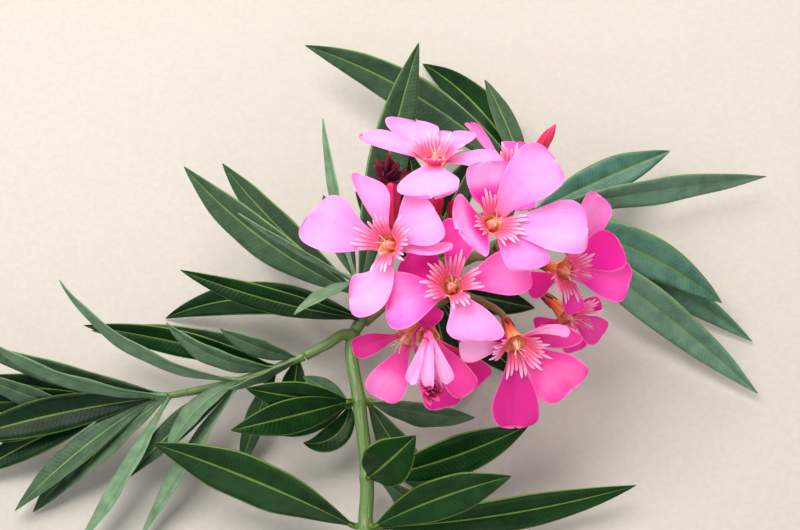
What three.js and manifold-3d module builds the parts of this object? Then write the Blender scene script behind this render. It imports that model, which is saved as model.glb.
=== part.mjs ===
// Cut flowering branch of oleander, in millimetres, lying with its flowers up.
// It is laid out as it is seen from above (x right, y up the picture, z towards the eye),
// and laid back on the table at the end.
import * as THREE from "three";
import { mergeVertices } from "three/addons/utils/BufferGeometryUtils.js";
import Module from "manifold-3d";

const wasm = await Module();
wasm.setup();

// Driving sizes
const LEAN = 28;
const CLEAR = 0.3;
const SLIVER = 0.02;
const WELD = 0.003;
const STEM = { foot: 2.7, tip: 1.6, sides: 8, parts: 24 };
const SHOOT = { foot: 2.1, tip: 1.6, sides: 7 };
const TWIG = { foot: 1.5, tip: 0.9, sides: 5 };
const COLLAR = { wall: 1.3, half: 2.6, slack: 0.5, sides: 9 };
const LEAF = { thick: 0.0125, stalk: 1.1, fold: 13, parts: 7 };
const TUBE = { length: 15, neck: 1.5, throat: 4.6, depth: 3.4, sides: 6 };
const PETAL = { start: 3.2, thick: 0.9, rows: 5, short: 15, narrow: 8, claw: 0.3, widest: 0.74 };
const CORONA = { reach: 7.5, width: 3.6, lift: 48 };
const STALK = { foot: 1.8, fork: 1.4, tip: 1.1, sides: 5, parts: 3 };

const RAD = Math.PI / 180;
const v = (x, y, z) => new THREE.Vector3(x, y, z);
const mix = THREE.MathUtils.lerp;

// Unit direction from a heading in the picture and a rise towards the eye, in degrees
function towards(heading, rise) {
  const flat = Math.cos(rise * RAD);
  return v(Math.cos(heading * RAD) * flat, Math.sin(heading * RAD) * flat, Math.sin(rise * RAD));
}

// Manifold solid of a closed geometry
function solid(geometry) {
  const bare = new THREE.BufferGeometry();
  bare.setAttribute("position", geometry.getAttribute("position"));
  bare.setIndex(geometry.getIndex());
  const merged = mergeVertices(bare, 1e-4);
  const vertProperties = new Float32Array(merged.getAttribute("position").array);
  const triVerts = new Uint32Array(merged.getIndex().array);
  return new wasm.Manifold(new wasm.Mesh({ numProp: 3, vertProperties, triVerts }));
}

// One body from several that meet, with slivers cleaned off, any scrap dropped and any
// sealed hollow filled
function fuse(solids) {
  const bodies = solids.reduce((whole, next) => whole.add(next)).simplify(SLIVER).decompose();
  return bodies.reduce((most, next) => (next.volume() > most.volume() ? next : most));
}

// Geometry through rings of points, closed by a fan over each end
function skin(rings) {
  const points = rings.flat().flatMap((p) => [p.x, p.y, p.z]);
  const starts = [];
  let count = 0;
  for (const ring of rings) {
    starts.push(count);
    count += ring.length;
  }
  const faces = [];
  for (let k = 0; k + 1 < rings.length; k++) {
    const [a, b] = [rings[k].length, rings[k + 1].length];
    const sides = Math.max(a, b);
    for (let i = 0; i < sides; i++) {
      const j = (i + 1) % sides;
      const [low, high] = [starts[k], starts[k + 1]];
      if (a > 1) faces.push(low + i, low + j, high + (b > 1 ? i : 0));
      if (b > 1) faces.push(low + (a > 1 ? j : 0), high + j, high + i);
    }
  }
  const last = starts[rings.length - 1];
  for (let i = 1; i + 1 < rings[0].length; i++) faces.push(0, i + 1, i);
  for (let i = 1; i + 1 < rings.at(-1).length; i++) faces.push(last, last + i, last + i + 1);
  const geometry = new THREE.BufferGeometry();
  geometry.setAttribute("position", new THREE.Float32BufferAttribute(points, 3));
  geometry.setIndex(faces);
  return geometry;
}

// Round limb that tapers along a smooth line
function limb(line, radius, sides, parts) {
  const rings = [];
  let across = v(0.31, 0.17, 0.93);
  for (let k = 0; k <= parts; k++) {
    const t = k / parts;
    const along = line.getTangent(t);
    across = across.clone().addScaledVector(along, -across.dot(along)).normalize();
    const up = along.clone().cross(across);
    const centre = line.getPoint(t);
    const ring = [];
    for (let i = 0; i < sides; i++) {
      const turn = (2 * Math.PI * i) / sides;
      const spoke = across.clone().multiplyScalar(Math.cos(turn)).addScaledVector(up, Math.sin(turn));
      ring.push(centre.clone().addScaledVector(spoke, radius(t)));
    }
    rings.push(ring);
  }
  return solid(skin(rings));
}

function smooth(points) {
  return new THREE.CatmullRomCurve3(points, false, "centripetal");
}

// Half width of a leaf along its length, as a share of the widest
function leafShape(s) {
  return Math.sin(Math.PI * s ** 1.06) ** 0.9;
}

// Leaf folded along its midrib. A row gives its heading, rise, length, width,
// the turn of heading and of rise along it, the roll about its midrib and the twist.
function leaf(root, row) {
  const [heading, rise, length, width, sweep, droop, roll, twist = 0] = row;
  const rings = [];
  const centre = root.clone();
  for (let k = 0; k <= LEAF.parts; k++) {
    const s = k / LEAF.parts;
    const middle = s - 0.5 / LEAF.parts;
    const turned = heading + sweep * (s - 0.5);
    if (k) {
      const step = towards(heading + sweep * (middle - 0.5), rise - droop * (middle - 0.5));
      centre.addScaledVector(step, length / LEAF.parts);
    }
    const along = towards(turned, rise - droop * (s - 0.5));
    const side = v(-Math.sin(turned * RAD), Math.cos(turned * RAD), 0);
    side.applyAxisAngle(along, (roll + twist * (s - 0.5)) * RAD);
    const up = along.clone().cross(side);
    const half = Math.max((width / 2) * leafShape(s), LEAF.stalk * (1 - s));
    const thick = (LEAF.thick * length * (1 - 0.5 * s)) / 2;
    const [out, lift] = [half * Math.cos(LEAF.fold * RAD), half * Math.sin(LEAF.fold * RAD)];
    const corner = (x, z) => centre.clone().addScaledVector(side, x).addScaledVector(up, z);
    if (k === LEAF.parts) rings.push([centre.clone()]);
    else rings.push([corner(out, lift), corner(0, thick), corner(-out, lift), corner(0, -thick)]);
  }
  return solid(skin(rings));
}

// Mass of leaves on its own twig. Each whorl names its place along the twig.
function leafyTwig(points, size, whorls) {
  const line = smooth(points);
  const radius = (t) => mix(size.foot, size.tip, t);
  const solids = [limb(line, radius, size.sides, 4 * (points.length - 1))];
  for (const [place, rows] of whorls)
    for (const row of rows) solids.push(leaf(line.getPoint(place), row));
  return fuse(solids);
}

// Whorl of leaves on a collar that stands clear of the stem it goes round
function leafyCollar(line, place, radius, rows) {
  const inner = radius + CLEAR + COLLAR.slack;
  const outer = inner + COLLAR.wall;
  const profile = [
    [inner, -COLLAR.half],
    [outer, -0.6 * COLLAR.half],
    [outer, 0.6 * COLLAR.half],
    [inner, COLLAR.half],
    [inner, -COLLAR.half],
  ].map(([x, y]) => new THREE.Vector2(x, y));
  const ring = new THREE.LatheGeometry(profile, COLLAR.sides);
  const along = line.getTangent(place);
  const centre = line.getPoint(place);
  ring.applyQuaternion(new THREE.Quaternion().setFromUnitVectors(v(0, 1, 0), along));
  ring.translate(centre.x, centre.y, centre.z);
  const solids = [solid(ring)];
  for (const row of rows) {
    const out = towards(row[0] - row[4] / 2, row[1] + row[5] / 2);
    out.addScaledVector(along, -out.dot(along)).normalize();
    solids.push(leaf(centre.clone().addScaledVector(out, (inner + outer) / 2), row));
  }
  return fuse(solids);
}

// Width of a petal along its length, as a share of the widest
function petalShape(s) {
  const opening = mix(PETAL.claw, 1, THREE.MathUtils.smoothstep(s, 0, PETAL.widest));
  const past = Math.max(0, (s - PETAL.widest) / (1 - PETAL.widest));
  return opening * Math.cbrt(1 - Math.min(past, 0.93) ** 3);
}

// Direction in which a petal leaves the throat, square to the flower's axis
function petalFoot(axis, row) {
  const [heading, rise, , , , bend, curl] = row;
  const along = towards(heading - bend / 2, rise - curl / 2);
  return along.addScaledVector(axis, -along.dot(axis)).normalize();
}

// Petal from the throat's rim, its face towards the flower's axis before it is rolled
function petal(at, axis, row) {
  const [heading, rise, length, left, right, bend, curl, roll, slant, cup] = row;
  const rows = length < PETAL.short ? PETAL.rows - 2 : PETAL.rows;
  const columns = left + right < PETAL.narrow ? 2 : 4;
  const out = petalFoot(axis, row);
  const centre = at.clone().addScaledVector(out, PETAL.start).addScaledVector(axis, -1);
  const upper = [];
  const lower = [];
  const direction = (s) => towards(heading + bend * (s - 0.5), rise + curl * (s - 0.5));
  for (let k = 0; k <= rows; k++) {
    const s = k / rows;
    if (k) centre.addScaledVector(direction(s - 0.5 / rows), length / rows);
    const along = direction(s);
    const turn = roll * THREE.MathUtils.smoothstep(s, 0, 0.35) * RAD;
    const side = axis.clone().cross(along).normalize().applyAxisAngle(along, turn);
    const up = along.clone().cross(side);
    const width = (left + right) * petalShape(s);
    const [top, under] = [[], []];
    for (let i = 0; i <= columns; i++) {
      const t = (2 * i) / columns - 1;
      const reach = petalShape(s) * (t * (left + right) + t * t * (left - right)) / 2;
      const point = centre.clone().addScaledVector(side, reach);
      point.addScaledVector(along, slant * reach * s * s);
      point.addScaledVector(up, (cup * width * t * t) / 2);
      const rim = k === 0 || k === rows || i === 0 || i === columns;
      const thick = rim ? 0 : PETAL.thick / 2;
      top.push(point.clone().addScaledVector(up, thick));
      under.push(point.clone().addScaledVector(up, -thick));
    }
    upper.push(top);
    lower.push(under);
  }
  const faces = [];
  const face = (a, b, c) => faces.push(...a.toArray(), ...b.toArray(), ...c.toArray());
  for (let k = 0; k < rows; k++)
    for (let i = 0; i < columns; i++) {
      const quad = (g) => [g[k][i], g[k + 1][i], g[k + 1][i + 1], g[k][i + 1]];
      const [a, b, c, d] = quad(upper);
      const [e, f, g, h] = quad(lower);
      const across = (i < columns / 2) === k < rows / 2;
      if (across) {
        face(a, b, d);
        face(b, c, d);
        face(e, h, f);
        face(f, h, g);
      } else {
        face(a, b, c);
        face(a, c, d);
        face(e, g, f);
        face(e, h, g);
      }
    }
  const geometry = new THREE.BufferGeometry();
  geometry.setAttribute("position", new THREE.Float32BufferAttribute(faces, 3));
  return solid(mergeVertices(geometry, 1e-4));
}

// Flat pointed blade between two points, widest in the middle
function blade(from, to, across, width, thick) {
  const along = to.clone().sub(from).normalize();
  const side = across.clone().addScaledVector(along, -across.dot(along)).normalize();
  const up = along.clone().cross(side);
  const ring = (share, part) => {
    const centre = from.clone().lerp(to, share);
    const corner = (x, z) => centre.clone().addScaledVector(side, x).addScaledVector(up, z);
    const [x, z] = [(part * width) / 2, thick / 2];
    return [corner(x, 0), corner(0, z), corner(-x, 0), corner(0, -z)];
  };
  return solid(skin([ring(0, 0.6), ring(0.6, 1), [to.clone()]]));
}

// Surface of revolution about z from its radius and height
function turned(profile, sides) {
  const points = profile.map(([x, y]) => new THREE.Vector2(x, y));
  return solid(new THREE.LatheGeometry(points, sides).rotateX(Math.PI / 2));
}

// Flower tube with its calyx, cone of anthers and fringed corona, at the origin. The
// corona's scales stand at the azimuths given.
function flowerHeart(azimuths) {
  const { length, neck, throat, depth, sides } = TUBE;
  const tube = turned(
    [
      [0, -length],
      [neck + 0.3, -length],
      [neck + 1.1, -0.66 * length],
      [neck + 0.3, -0.62 * length],
      [0.74 * throat, -0.26 * length],
      [throat, 0],
      [0.7 * throat, -0.6],
      [0, -depth],
    ],
    sides,
  );
  const cone = turned([[0, -depth - 1], [1.9, -depth - 1], [1.2, -0.5], [0, 2.4]], 5);
  const solids = [tube, cone];
  const spoke = (azimuth, r, z) => v(Math.cos(azimuth) * r, Math.sin(azimuth) * r, z);
  for (const azimuth of azimuths) {
    const [out, high] = [Math.cos(CORONA.lift * RAD), Math.sin(CORONA.lift * RAD)];
    const tip = spoke(azimuth, 3 + CORONA.reach * out, CORONA.reach * high);
    solids.push(blade(spoke(azimuth, 3, -1.2), tip, spoke(azimuth + Math.PI / 2, 1, 0), CORONA.width, 0.9));
  }
  return solids;
}

// Turn of a flower whose throat looks along a direction
function facing([x, y, z]) {
  const axis = v(x, y, z).normalize();
  const right = v(1, 0, 0).addScaledVector(axis, -axis.x).normalize();
  return new THREE.Matrix4().makeBasis(right, axis.clone().cross(right), axis);
}

// Bloom with five corona scales, or none where the flower is seen from outside
function bloom({ at, axis, petals }, scales) {
  const look = v(...axis).normalize();
  const place = facing(axis);
  const [right, up] = [v(), v()];
  place.extractBasis(right, up, v());
  const feet = petals.slice(0, scales).map((row) => petalFoot(look, row));
  const azimuths = feet.map((out) => Math.atan2(out.dot(up), out.dot(right)));
  const heart = flowerHeart(azimuths).map((part) => part.transform(place.setPosition(...at).elements));
  return fuse([...heart, ...petals.map((row) => petal(v(...at), look, row))]);
}

// Where a flower's stalk ends, a hair behind its foot
function footOf({ at, axis }, length = TUBE.length) {
  return v(...at).addScaledVector(v(...axis).normalize(), -length - CLEAR);
}

// Pointed bud that stands on its stalk
function bud({ at, axis, length, width }) {
  const shape = [
    [0, -length],
    [0.32 * width, -length],
    [0.5 * width, -0.62 * length],
    [0.4 * width, -0.3 * length],
    [0, 0],
  ];
  const whole = turned(shape, 7);
  return whole.transform(facing(axis).setPosition(...at).elements);
}

// Main stem, from its flat cut to where the last leaves begin
const stemPoints = [
  [-17, -150, 12.2],
  [-13.5, -119, -1],
  [-11.6, -87, -17.8],
  [-11, -71, -21],
  [-13.8, -46, -27],
  [-16, -24, -35],
  [-2, -10, -44],
  [26, 3, -52],
  [44, 13, -56],
].map((p) => v(...p));
const stemLine = smooth(stemPoints);
const stemAt = (k) => k / (stemPoints.length - 1);
const stemRadius = (t) => mix(STEM.foot, STEM.tip, t);

// Leaf rows, whorl by whorl: heading, rise, length, width, sweep, droop, roll, twist
const footWhorl = [
  [196, 9, 78, 14, 14, 6, -20],
  [318, 22, 70, 14, -16, 6, 16],
  [352, 5, 84, 15, 18, 8, 24],
];
const lowerWhorl = [
  [157, 5, 72, 17, 10, 10, -14],
  [23, 22, 52, 15, -14, 8, 14],
  [9, -2, 88, 12, 12, 6, 10],
];
const middleWhorl = [
  [46, 48, 34, 17, 0, 50, 0],
  [20, 9, 54, 14, 14, 8, 6],
  [318, 0, 26, 9, -20, 10, 30],
];
const forkWhorl = [
  [192, 26, 44, 12, 0, 24, 0],
  [171, 25, 38, 11, -8, 20, -8],
  [220, 16, 24, 9, -110, 0, 0],
  [199, 6, 30, 5, -50, 10, 0],
  [150, 10, 18, 7, 0, 0, 30],
  [350, -14, 38, 12, 14, 10, 40],
  [305, 0, 40, 12, 10, 0, 20],
];
const headWhorl = [
  [96, -4, 42, 13, 8, 6, 10],
  [64, -8, 46, 13, -8, 6, -10],
  [130, -8, 36, 12, 8, 6, 10],
  [282, 5, 42, 12, -8, 0, 10],
  [316, 2, 46, 12, 8, 4, 0],
  [348, -4, 38, 12, 0, 6, -10],
];

// Left shoot: a bare length, then two masses of leaves one behind the other
const shootPoints = [
  [-19.15, -23.6, -32.95],
  [-25, -27, -30.5],
  [-32, -30.6, -29],
].map((p) => v(...p));
const innerPoints = [
  [-32.5, -30.8, -28.9],
  [-44, -35.6, -28],
  [-56.2, -39.6, -28],
  [-71.7, -43, -29],
].map((p) => v(...p));
const outerPoints = [
  [-72.4, -43.1, -29.1],
  [-84, -45.2, -30],
  [-94.2, -47, -30.6],
  [-108, -49.4, -31],
].map((p) => v(...p));
const innerWhorls = [
  [
    0.05,
    [
      [203, 16, 27, 9, -10, 10, -70],
      [262, -2, 19, 9, 6, 0, 10],
      [158, 22, 30, 8, -20, 10, -30],
      [173, -10, 74, 10, 10, 6, -20],
    ],
  ],
  [
    0.26,
    [
      [157, 14, 42, 9, -50, 10, -40],
      [168, -4, 68, 9.4, 8, 6, -10],
      [250, -10, 38, 8, 10, 6, 20],
    ],
  ],
  [
    0.6,
    [
      [150, 13, 72, 9.4, -50, 14, -56],
      [226, 14, 37, 9, 50, 10, 40],
      [221, 4, 50, 9.4, 20, 10, 20],
      [238, 6, 64, 8.4, 8, 10, 50],
    ],
  ],
];
const outerWhorls = [
  [
    0.16,
    [
      [165, 3, 72, 9.6, -12, 10, -30],
      [161, 12, 68, 10, -34, 14, -56],
      [222, 4, 50, 9.6, 16, 10, 30],
      [240, 14, 60, 9, -8, 10, 50],
    ],
  ],
  [
    0.3,
    [
      [192, 4, 68, 13, 12, 8, 6],
      [219, 7, 60, 10, 16, 10, 26],
      [173, -2, 62, 10, -8, 8, -16],
    ],
  ],
  [
    0.7,
    [
      [180, 0, 52, 10, 10, 6, -10],
      [206, 0, 56, 11, 12, 6, 10],
      [232, 5, 46, 10, -10, 8, 20],
    ],
  ],
  [
    0.97,
    [
      [196, 2, 38, 10, 10, 6, 0],
      [160, 8, 40, 9, -16, 10, -30],
    ],
  ],
];

// Upper left leaves, on a short side twig by the fork
const upperPoints = [
  [-13.2, -19.9, -33.7],
  [-13.4, -15, -31.5],
  [-14, -9, -30],
  [-15, -5, -28.5],
].map((p) => v(...p));
const upperWhorls = [
  [
    0.12,
    [
      [165, 0, 64, 9, -14, 6, -10],
      [181, -22, 78, 12, 46, 8, 10],
    ],
  ],
  [
    0.6,
    [
      [144, -12, 78, 14, -24, 8, -24],
      [77, -20, 98, 15, -6, 10, 20],
      [137, -34, 84, 12, -16, 8, -20],
    ],
  ],
  [
    0.96,
    [
      [150, 8, 46, 5, -6, 12, -60],
      [102, -20, 62, 6, -8, 10, -50],
      [208, 26, 26, 8, 20, 20, 60],
      [112, -42, 44, 9, 0, 10, 20],
    ],
  ],
];

// Right and top leaves, on the stem's last two lengths
const rightPoints = [
  [44.75, 13.5, -56.1],
  [45.7, 14.9, -56.5],
  [46.2, 17.4, -57.2],
  [46.3, 20.2, -57.9],
].map((p) => v(...p));
const topPoints = [
  [46.3, 21.8, -58.6],
  [46, 26, -60],
  [44.8, 31.4, -62],
].map((p) => v(...p));
const rightWhorls = [
  [
    0.52,
    [
      [336, 6, 74, 16, -30, 14, 14],
      [322, 7, 100, 15, -10, 10, 30],
      [331, 0, 90, 12, -16, 8, 20],
    ],
  ],
  [
    0.78,
    [
      [9, -12, 90, 11, -6, 6, 30],
      [24, -22, 62, 13, -6, 6, -10],
    ],
  ],
];
const topWhorls = [
  [
    0.8,
    [
      [147, -20, 104, 15, 26, 8, -20],
      [128, -40, 80, 14, 34, 8, 10],
      [110, -30, 48, 9, 10, 0, 20],
    ],
  ],
];

// Blooms: throat, the way it looks, and petals by heading in the picture, rise towards the
// eye, length, reach of the left and right margin, bend, curl, roll, slant and cup
const blooms = [
  {
    at: [-4.5, 6.7, 5],
    axis: [-0.42, 0.08, 0.9],
    petals: [
      [157, -2, 24.5, 8.6, 10.2, -26, -24, 0, 0.1, 0.12],
      [111, 6, 20.5, 4.6, 5.6, 4, -16, 40, 0.8, 0.3],
      [38, 22, 17, 9.3, 10.3, 0, -14, 0, 0, 0.1],
      [-2, 20, 19, 3.6, 3.6, 26, 0, -50, 0.2, 0.2],
      [229, 2, 20.5, 7.6, 6.6, -84, -16, 0, 0.1, 0.15],
    ],
  },
  {
    at: [16.6, -6.4, 4],
    axis: [0, 0.3, 0.95],
    petals: [
      [193, 6, 19.5, 10, 9, 0, -50, 0, 0.1, 0.15],
      [147, -22, 15.5, 7, 8, 0, -10, 0, 0, 0.1],
      [86, 8, 18.5, 6, 6.5, 6, -10, 20, 0.2, 0.25],
      [10, 6, 22.5, 9, 7, -6, -14, 0, -0.1, 0.12],
      [297, 17, 17.5, 8.2, 8.2, 0, -20, 0, 0.5, 0.12],
    ],
  },
  {
    at: [30, 13.7, 10],
    axis: [0.3, 0.3, 0.9],
    petals: [
      [93, 14, 17, 8.5, 9, 0, -20, 0, 0, 0.2],
      [190, 57, 17, 11, 10.5, 0, 0, 0, 0, 0.3],
      [43, 14, 26, 9.5, 8, -26, -22, 0, -0.1, 0.12],
      [-2, 8, 27, 8.5, 9.2, 0, -20, 0, -0.1, 0.12],
      [313, 20, 17.5, 6.8, 6.8, 0, -30, 0, 0.5, 0.1],
    ],
  },
  {
    at: [11.4, 35, -6],
    axis: [0.03, 0.85, 0.52],
    petals: [
      [158, -4, 22, 7.5, 5, 10, -10, 0, 0.2, 0.2],
      [112, -46, 19, 11, 6, 0, -10, 0, 0.4, 0.15],
      [60, -48, 15, 5.5, 8.5, 0, 0, 0, -0.3, 0.15],
      [264, 54, 19, 8.5, 11, 0, -20, 0, -0.3, 0.1],
      [0, 0, 19, 6, 7, 0, -10, 0, 0, 0.2],
    ],
  },
  {
    at: [36.9, 29.9, -21],
    axis: [0.1, 0.5, 0.85],
    petals: [
      [126, -8, 20, 5.5, 4.5, 0, 0, 40, 0.2, 0.2],
      [78, -30, 11, 5, 5, 0, 0, 0, 0, 0.2],
      [352, 0, 12, 5, 5, 0, 0, 0, 0, 0.1],
      [290, 40, 12, 5, 5, 0, 0, 0, 0, 0.1],
      [215, 20, 12, 5, 5, 0, 0, 0, 0, 0.1],
    ],
  },
  {
    at: [54.5, -2, -9],
    axis: [0.5, -0.15, 0.85],
    petals: [
      [63, 0, 24, 6, 6.5, 0, -20, 0, 0.1, 0.15],
      [24, 20, 18, 8, 8, 0, -10, 0, 0, 0.25],
      [-12, 4, 19, 7.2, 6.8, 0, -12, 0, 0, 0.2],
      [-72, 10, 11.5, 3.6, 3.6, 0, -20, 20, 0, 0.2],
      [200, -10, 11, 5, 5, 0, 0, 0, 0, 0.1],
    ],
  },
  {
    at: [37.5, -26, 3],
    axis: [0.2, -0.55, 0.8],
    petals: [
      [183, 7, 15.5, 5.5, 3.5, 0, -20, 0, 0, 0.2],
      [18, 10, 14.5, 6.5, 6.5, 0, 10, 0, -0.8, 0.3],
      [321, -8, 21.5, 9.8, 9.6, 0, -20, 0, 0, 0.15],
      [272, -8, 25, 7.5, 8.5, 0, -16, 0, 0.1, 0.15],
      [150, 0, 8, 4, 4, 0, 0, 0, 0, 0.1],
      [8, 30, 17.5, 2.4, 2.4, -60, 0, 0, 0, 0.3],
    ],
  },
  {
    at: [9, -24, -1],
    axis: [-0.05, -0.6, 0.8],
    petals: [
      [305, 13, 20, 6.5, 5.5, 0, 0, 0, 0, 0.35],
      [321, -6, 20.5, 6, 7, -10, 0, 0, 0, 0.3],
      [284, -8, 21.5, 6, 7, 0, 0, 0, 0, 0.3],
      [90, 30, 9, 5, 5, 0, 0, 0, 0, 0.3],
      [288, 40, 25, 1.5, 1.5, -65, -110, 20, 0, 0.5],
      [279, 42, 26, 1.6, 1.5, -33, -112, -25, 0, 0.5],
      [271, 46, 27, 1.5, 1.6, 0, -118, 24, 0, 0.5],
      [261, 42, 26, 1.5, 1.5, 33, -112, 30, 0, 0.5],
      [252, 38, 25, 1.6, 1.5, 65, -108, -20, 0, 0.5],
    ],
  },
  {
    at: [1.2, -25, -16.6],
    axis: [-0.6, -0.6, 0.5],
    petals: [
      [196, 6, 16, 4.4, 4.4, 0, 0, 20, 0, 0.3],
      [245, 6, 20, 7.6, 7.6, 0, -10, 0, 0, 0.25],
      [88, 20, 10, 5, 5, 0, 0, 0, 0, 0.4],
      [310, 30, 10, 5, 5, 0, 0, 0, 0, 0.3],
      [20, 30, 9, 4, 4, 0, 0, 0, 0, 0.1],
    ],
  },
  {
    at: [57, -17.5, -25],
    axis: [0.55, -0.5, 0.67],
    petals: [
      [25, 10, 9, 4.5, 4.5, 0, 0, 0, 0, 0.3],
      [330, 0, 11.5, 5, 5.5, 0, -10, 0, 0, 0.2],
      [285, 0, 10, 5, 5, 0, 0, 0, 0, 0.2],
      [100, -10, 9, 4.5, 4.5, 0, 0, 0, 0, 0.2],
      [190, -10, 9, 4.5, 4.5, 0, 0, 0, 0, 0.2],
    ],
  },
];
const buds = [
  { at: [52.5, 47.5, -26], axis: [0.5, 0.8, 0.2], length: 15, width: 4.4 },
  { at: [12.2, 24.6, -3], axis: [0.05, 0.9, 0.4], length: 9, width: 4.6 },
  { at: [18.6, 21.5, -4], axis: [0.2, 0.6, 0.75], length: 8, width: 4.4 },
];
const withered = { at: [-3, 27.5, -15], axis: [-0.05, 0.92, 0.38] };

// Faded bloom: a tube that ends in a crumpled knot
function fadedBloom({ at, axis }) {
  const solids = [turned([[0, -16], [1.8, -16], [2.6, -10], [3.2, -4], [3.4, 0], [0, 2]], 7)];
  for (let k = 0; k < 7; k++) {
    const turn = 51.4 * k;
    const out = towards(turn, 20 + 34 * (k % 3));
    const reach = 6 + 1.4 * ((k * 3) % 4);
    const across = v(-out.y, out.x, 0.6);
    solids.push(blade(out.clone().multiplyScalar(0.6), out.clone().multiplyScalar(reach), across, 5, 2.2));
  }
  return fuse(solids).transform(facing(axis).setPosition(...at).elements);
}

// Flower stalk: one foot, four forks, and a stalk to each bloom and bud
const hubs = {
  foot: v(-9.3, -16.8, -35.95),
  heart: v(13, 2, -33),
  left: v(4, 5, -26),
  top: v(17, 12, -27),
  right: v(32, 3, -27),
  low: v(19, -9, -23),
};
const served = [
  ["left", blooms[0], TUBE.length],
  ["left", withered, 16],
  ["top", blooms[3], TUBE.length],
  ["top", blooms[4], TUBE.length],
  ["top", buds[1], buds[1].length],
  ["top", buds[2], buds[2].length],
  ["right", blooms[2], TUBE.length],
  ["right", blooms[5], TUBE.length],
  ["right", blooms[9], TUBE.length],
  ["right", buds[0], buds[0].length],
  ["low", blooms[1], TUBE.length],
  ["low", blooms[6], TUBE.length],
  ["low", blooms[7], TUBE.length],
  ["low", blooms[8], TUBE.length],
];
function flowerStalk() {
  const straight = (a, b, from, to, parts) =>
    limb(smooth([a, a.clone().lerp(b, 0.5), b]), (t) => mix(from, to, t), STALK.sides, parts);
  const solids = [straight(hubs.foot, hubs.heart, STALK.foot, STALK.fork, 2)];
  for (const name of ["left", "top", "right", "low"])
    solids.push(straight(hubs.heart, hubs[name], STALK.fork, STALK.fork, 2));
  for (const [name, flower, length] of served) {
    const end = footOf(flower, length);
    const back = v(...flower.axis).normalize();
    const reach = Math.min(6, end.distanceTo(hubs[name]) / 3);
    const before = end.clone().addScaledVector(back, -reach);
    const line = new THREE.CubicBezierCurve3(hubs[name], hubs[name].clone().lerp(before, 0.5), before, end);
    solids.push(limb(line, (t) => mix(STALK.fork, STALK.tip, t), STALK.sides, STALK.parts));
  }
  return fuse(solids);
}

// All nodes with their colours
const GREEN = 0x2f5a2c;
const STEM_GREEN = 0x7d8f4a;
const PINK = 0xf58ad2;
const DEEP = 0xc01468;
const whorlRadius = (k) => stemRadius(stemAt(k));
const collar = (k, rows) => leafyCollar(stemLine, stemAt(k), whorlRadius(k), rows);
const pieces = [
  ["main_stem", STEM_GREEN, limb(stemLine, stemRadius, STEM.sides, STEM.parts)],
  ["left_shoot", STEM_GREEN, limb(smooth(shootPoints), (t) => mix(SHOOT.foot, SHOOT.tip, t), SHOOT.sides, 4)],
  ["foot_leaves", GREEN, collar(1, footWhorl)],
  ["lower_leaves", GREEN, collar(2, lowerWhorl)],
  ["middle_leaves", GREEN, collar(3, middleWhorl)],
  ["fork_leaves", GREEN, collar(4, forkWhorl)],
  ["head_leaves", GREEN, collar(6.4, headWhorl)],
  ["left_leaves_inner", GREEN, leafyTwig(innerPoints, TWIG, innerWhorls)],
  ["left_leaves_outer", GREEN, leafyTwig(outerPoints, TWIG, outerWhorls)],
  ["upper_left_leaves", GREEN, leafyTwig(upperPoints, TWIG, upperWhorls)],
  ["right_leaves", GREEN, leafyTwig(rightPoints, TWIG, rightWhorls)],
  ["top_leaves", GREEN, leafyTwig(topPoints, TWIG, topWhorls)],
  ["flower_stalk", STEM_GREEN, flowerStalk()],
  ["withered_bloom", DEEP, fadedBloom(withered)],
  ...blooms.map((row, k) => [`bloom_${k + 1}`, PINK, bloom(row, k === 7 || k === 8 ? 0 : 5)]),
  ...buds.map((row, k) => [`bud_${k + 1}`, DEEP, bud(row)]),
];

// Lay everything back and set it on the table, centred
const laid = pieces.map(([name, colour, body]) => [name, colour, body.rotate([LEAN, 0, 0])]);
const boxes = laid.map(([, , body]) => body.boundingBox());
const low = [0, 1, 2].map((i) => Math.min(...boxes.map((b) => b.min[i])));
const high = [0, 1, 2].map((i) => Math.max(...boxes.map((b) => b.max[i])));
const shift = [-(low[0] + high[0]) / 2, -(low[1] + high[1]) / 2, -low[2]];

// Named mesh, with points that all but touch made one and the triangles this flattens dropped
function meshOf(name, colour, body) {
  const made = body.translate(shift).getMesh();
  const bare = new THREE.BufferGeometry();
  bare.setAttribute("position", new THREE.BufferAttribute(made.vertProperties, 3));
  bare.setIndex(new THREE.BufferAttribute(made.triVerts, 1));
  const geometry = mergeVertices(bare, WELD);
  const corners = geometry.getIndex().array;
  const kept = [];
  for (let i = 0; i < corners.length; i += 3) {
    const [a, b, c] = corners.subarray(i, i + 3);
    if (a !== b && b !== c && c !== a) kept.push(a, b, c);
  }
  geometry.setIndex(kept);
  geometry.computeVertexNormals();
  const mesh = new THREE.Mesh(geometry, new THREE.MeshStandardMaterial({ color: colour, roughness: 0.6 }));
  mesh.name = name;
  return mesh;
}

const branch = new THREE.Group();
branch.userData.shift = shift;
for (const [name, colour, body] of laid) branch.add(meshOf(name, colour, body));
export default branch;
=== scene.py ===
import math

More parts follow.
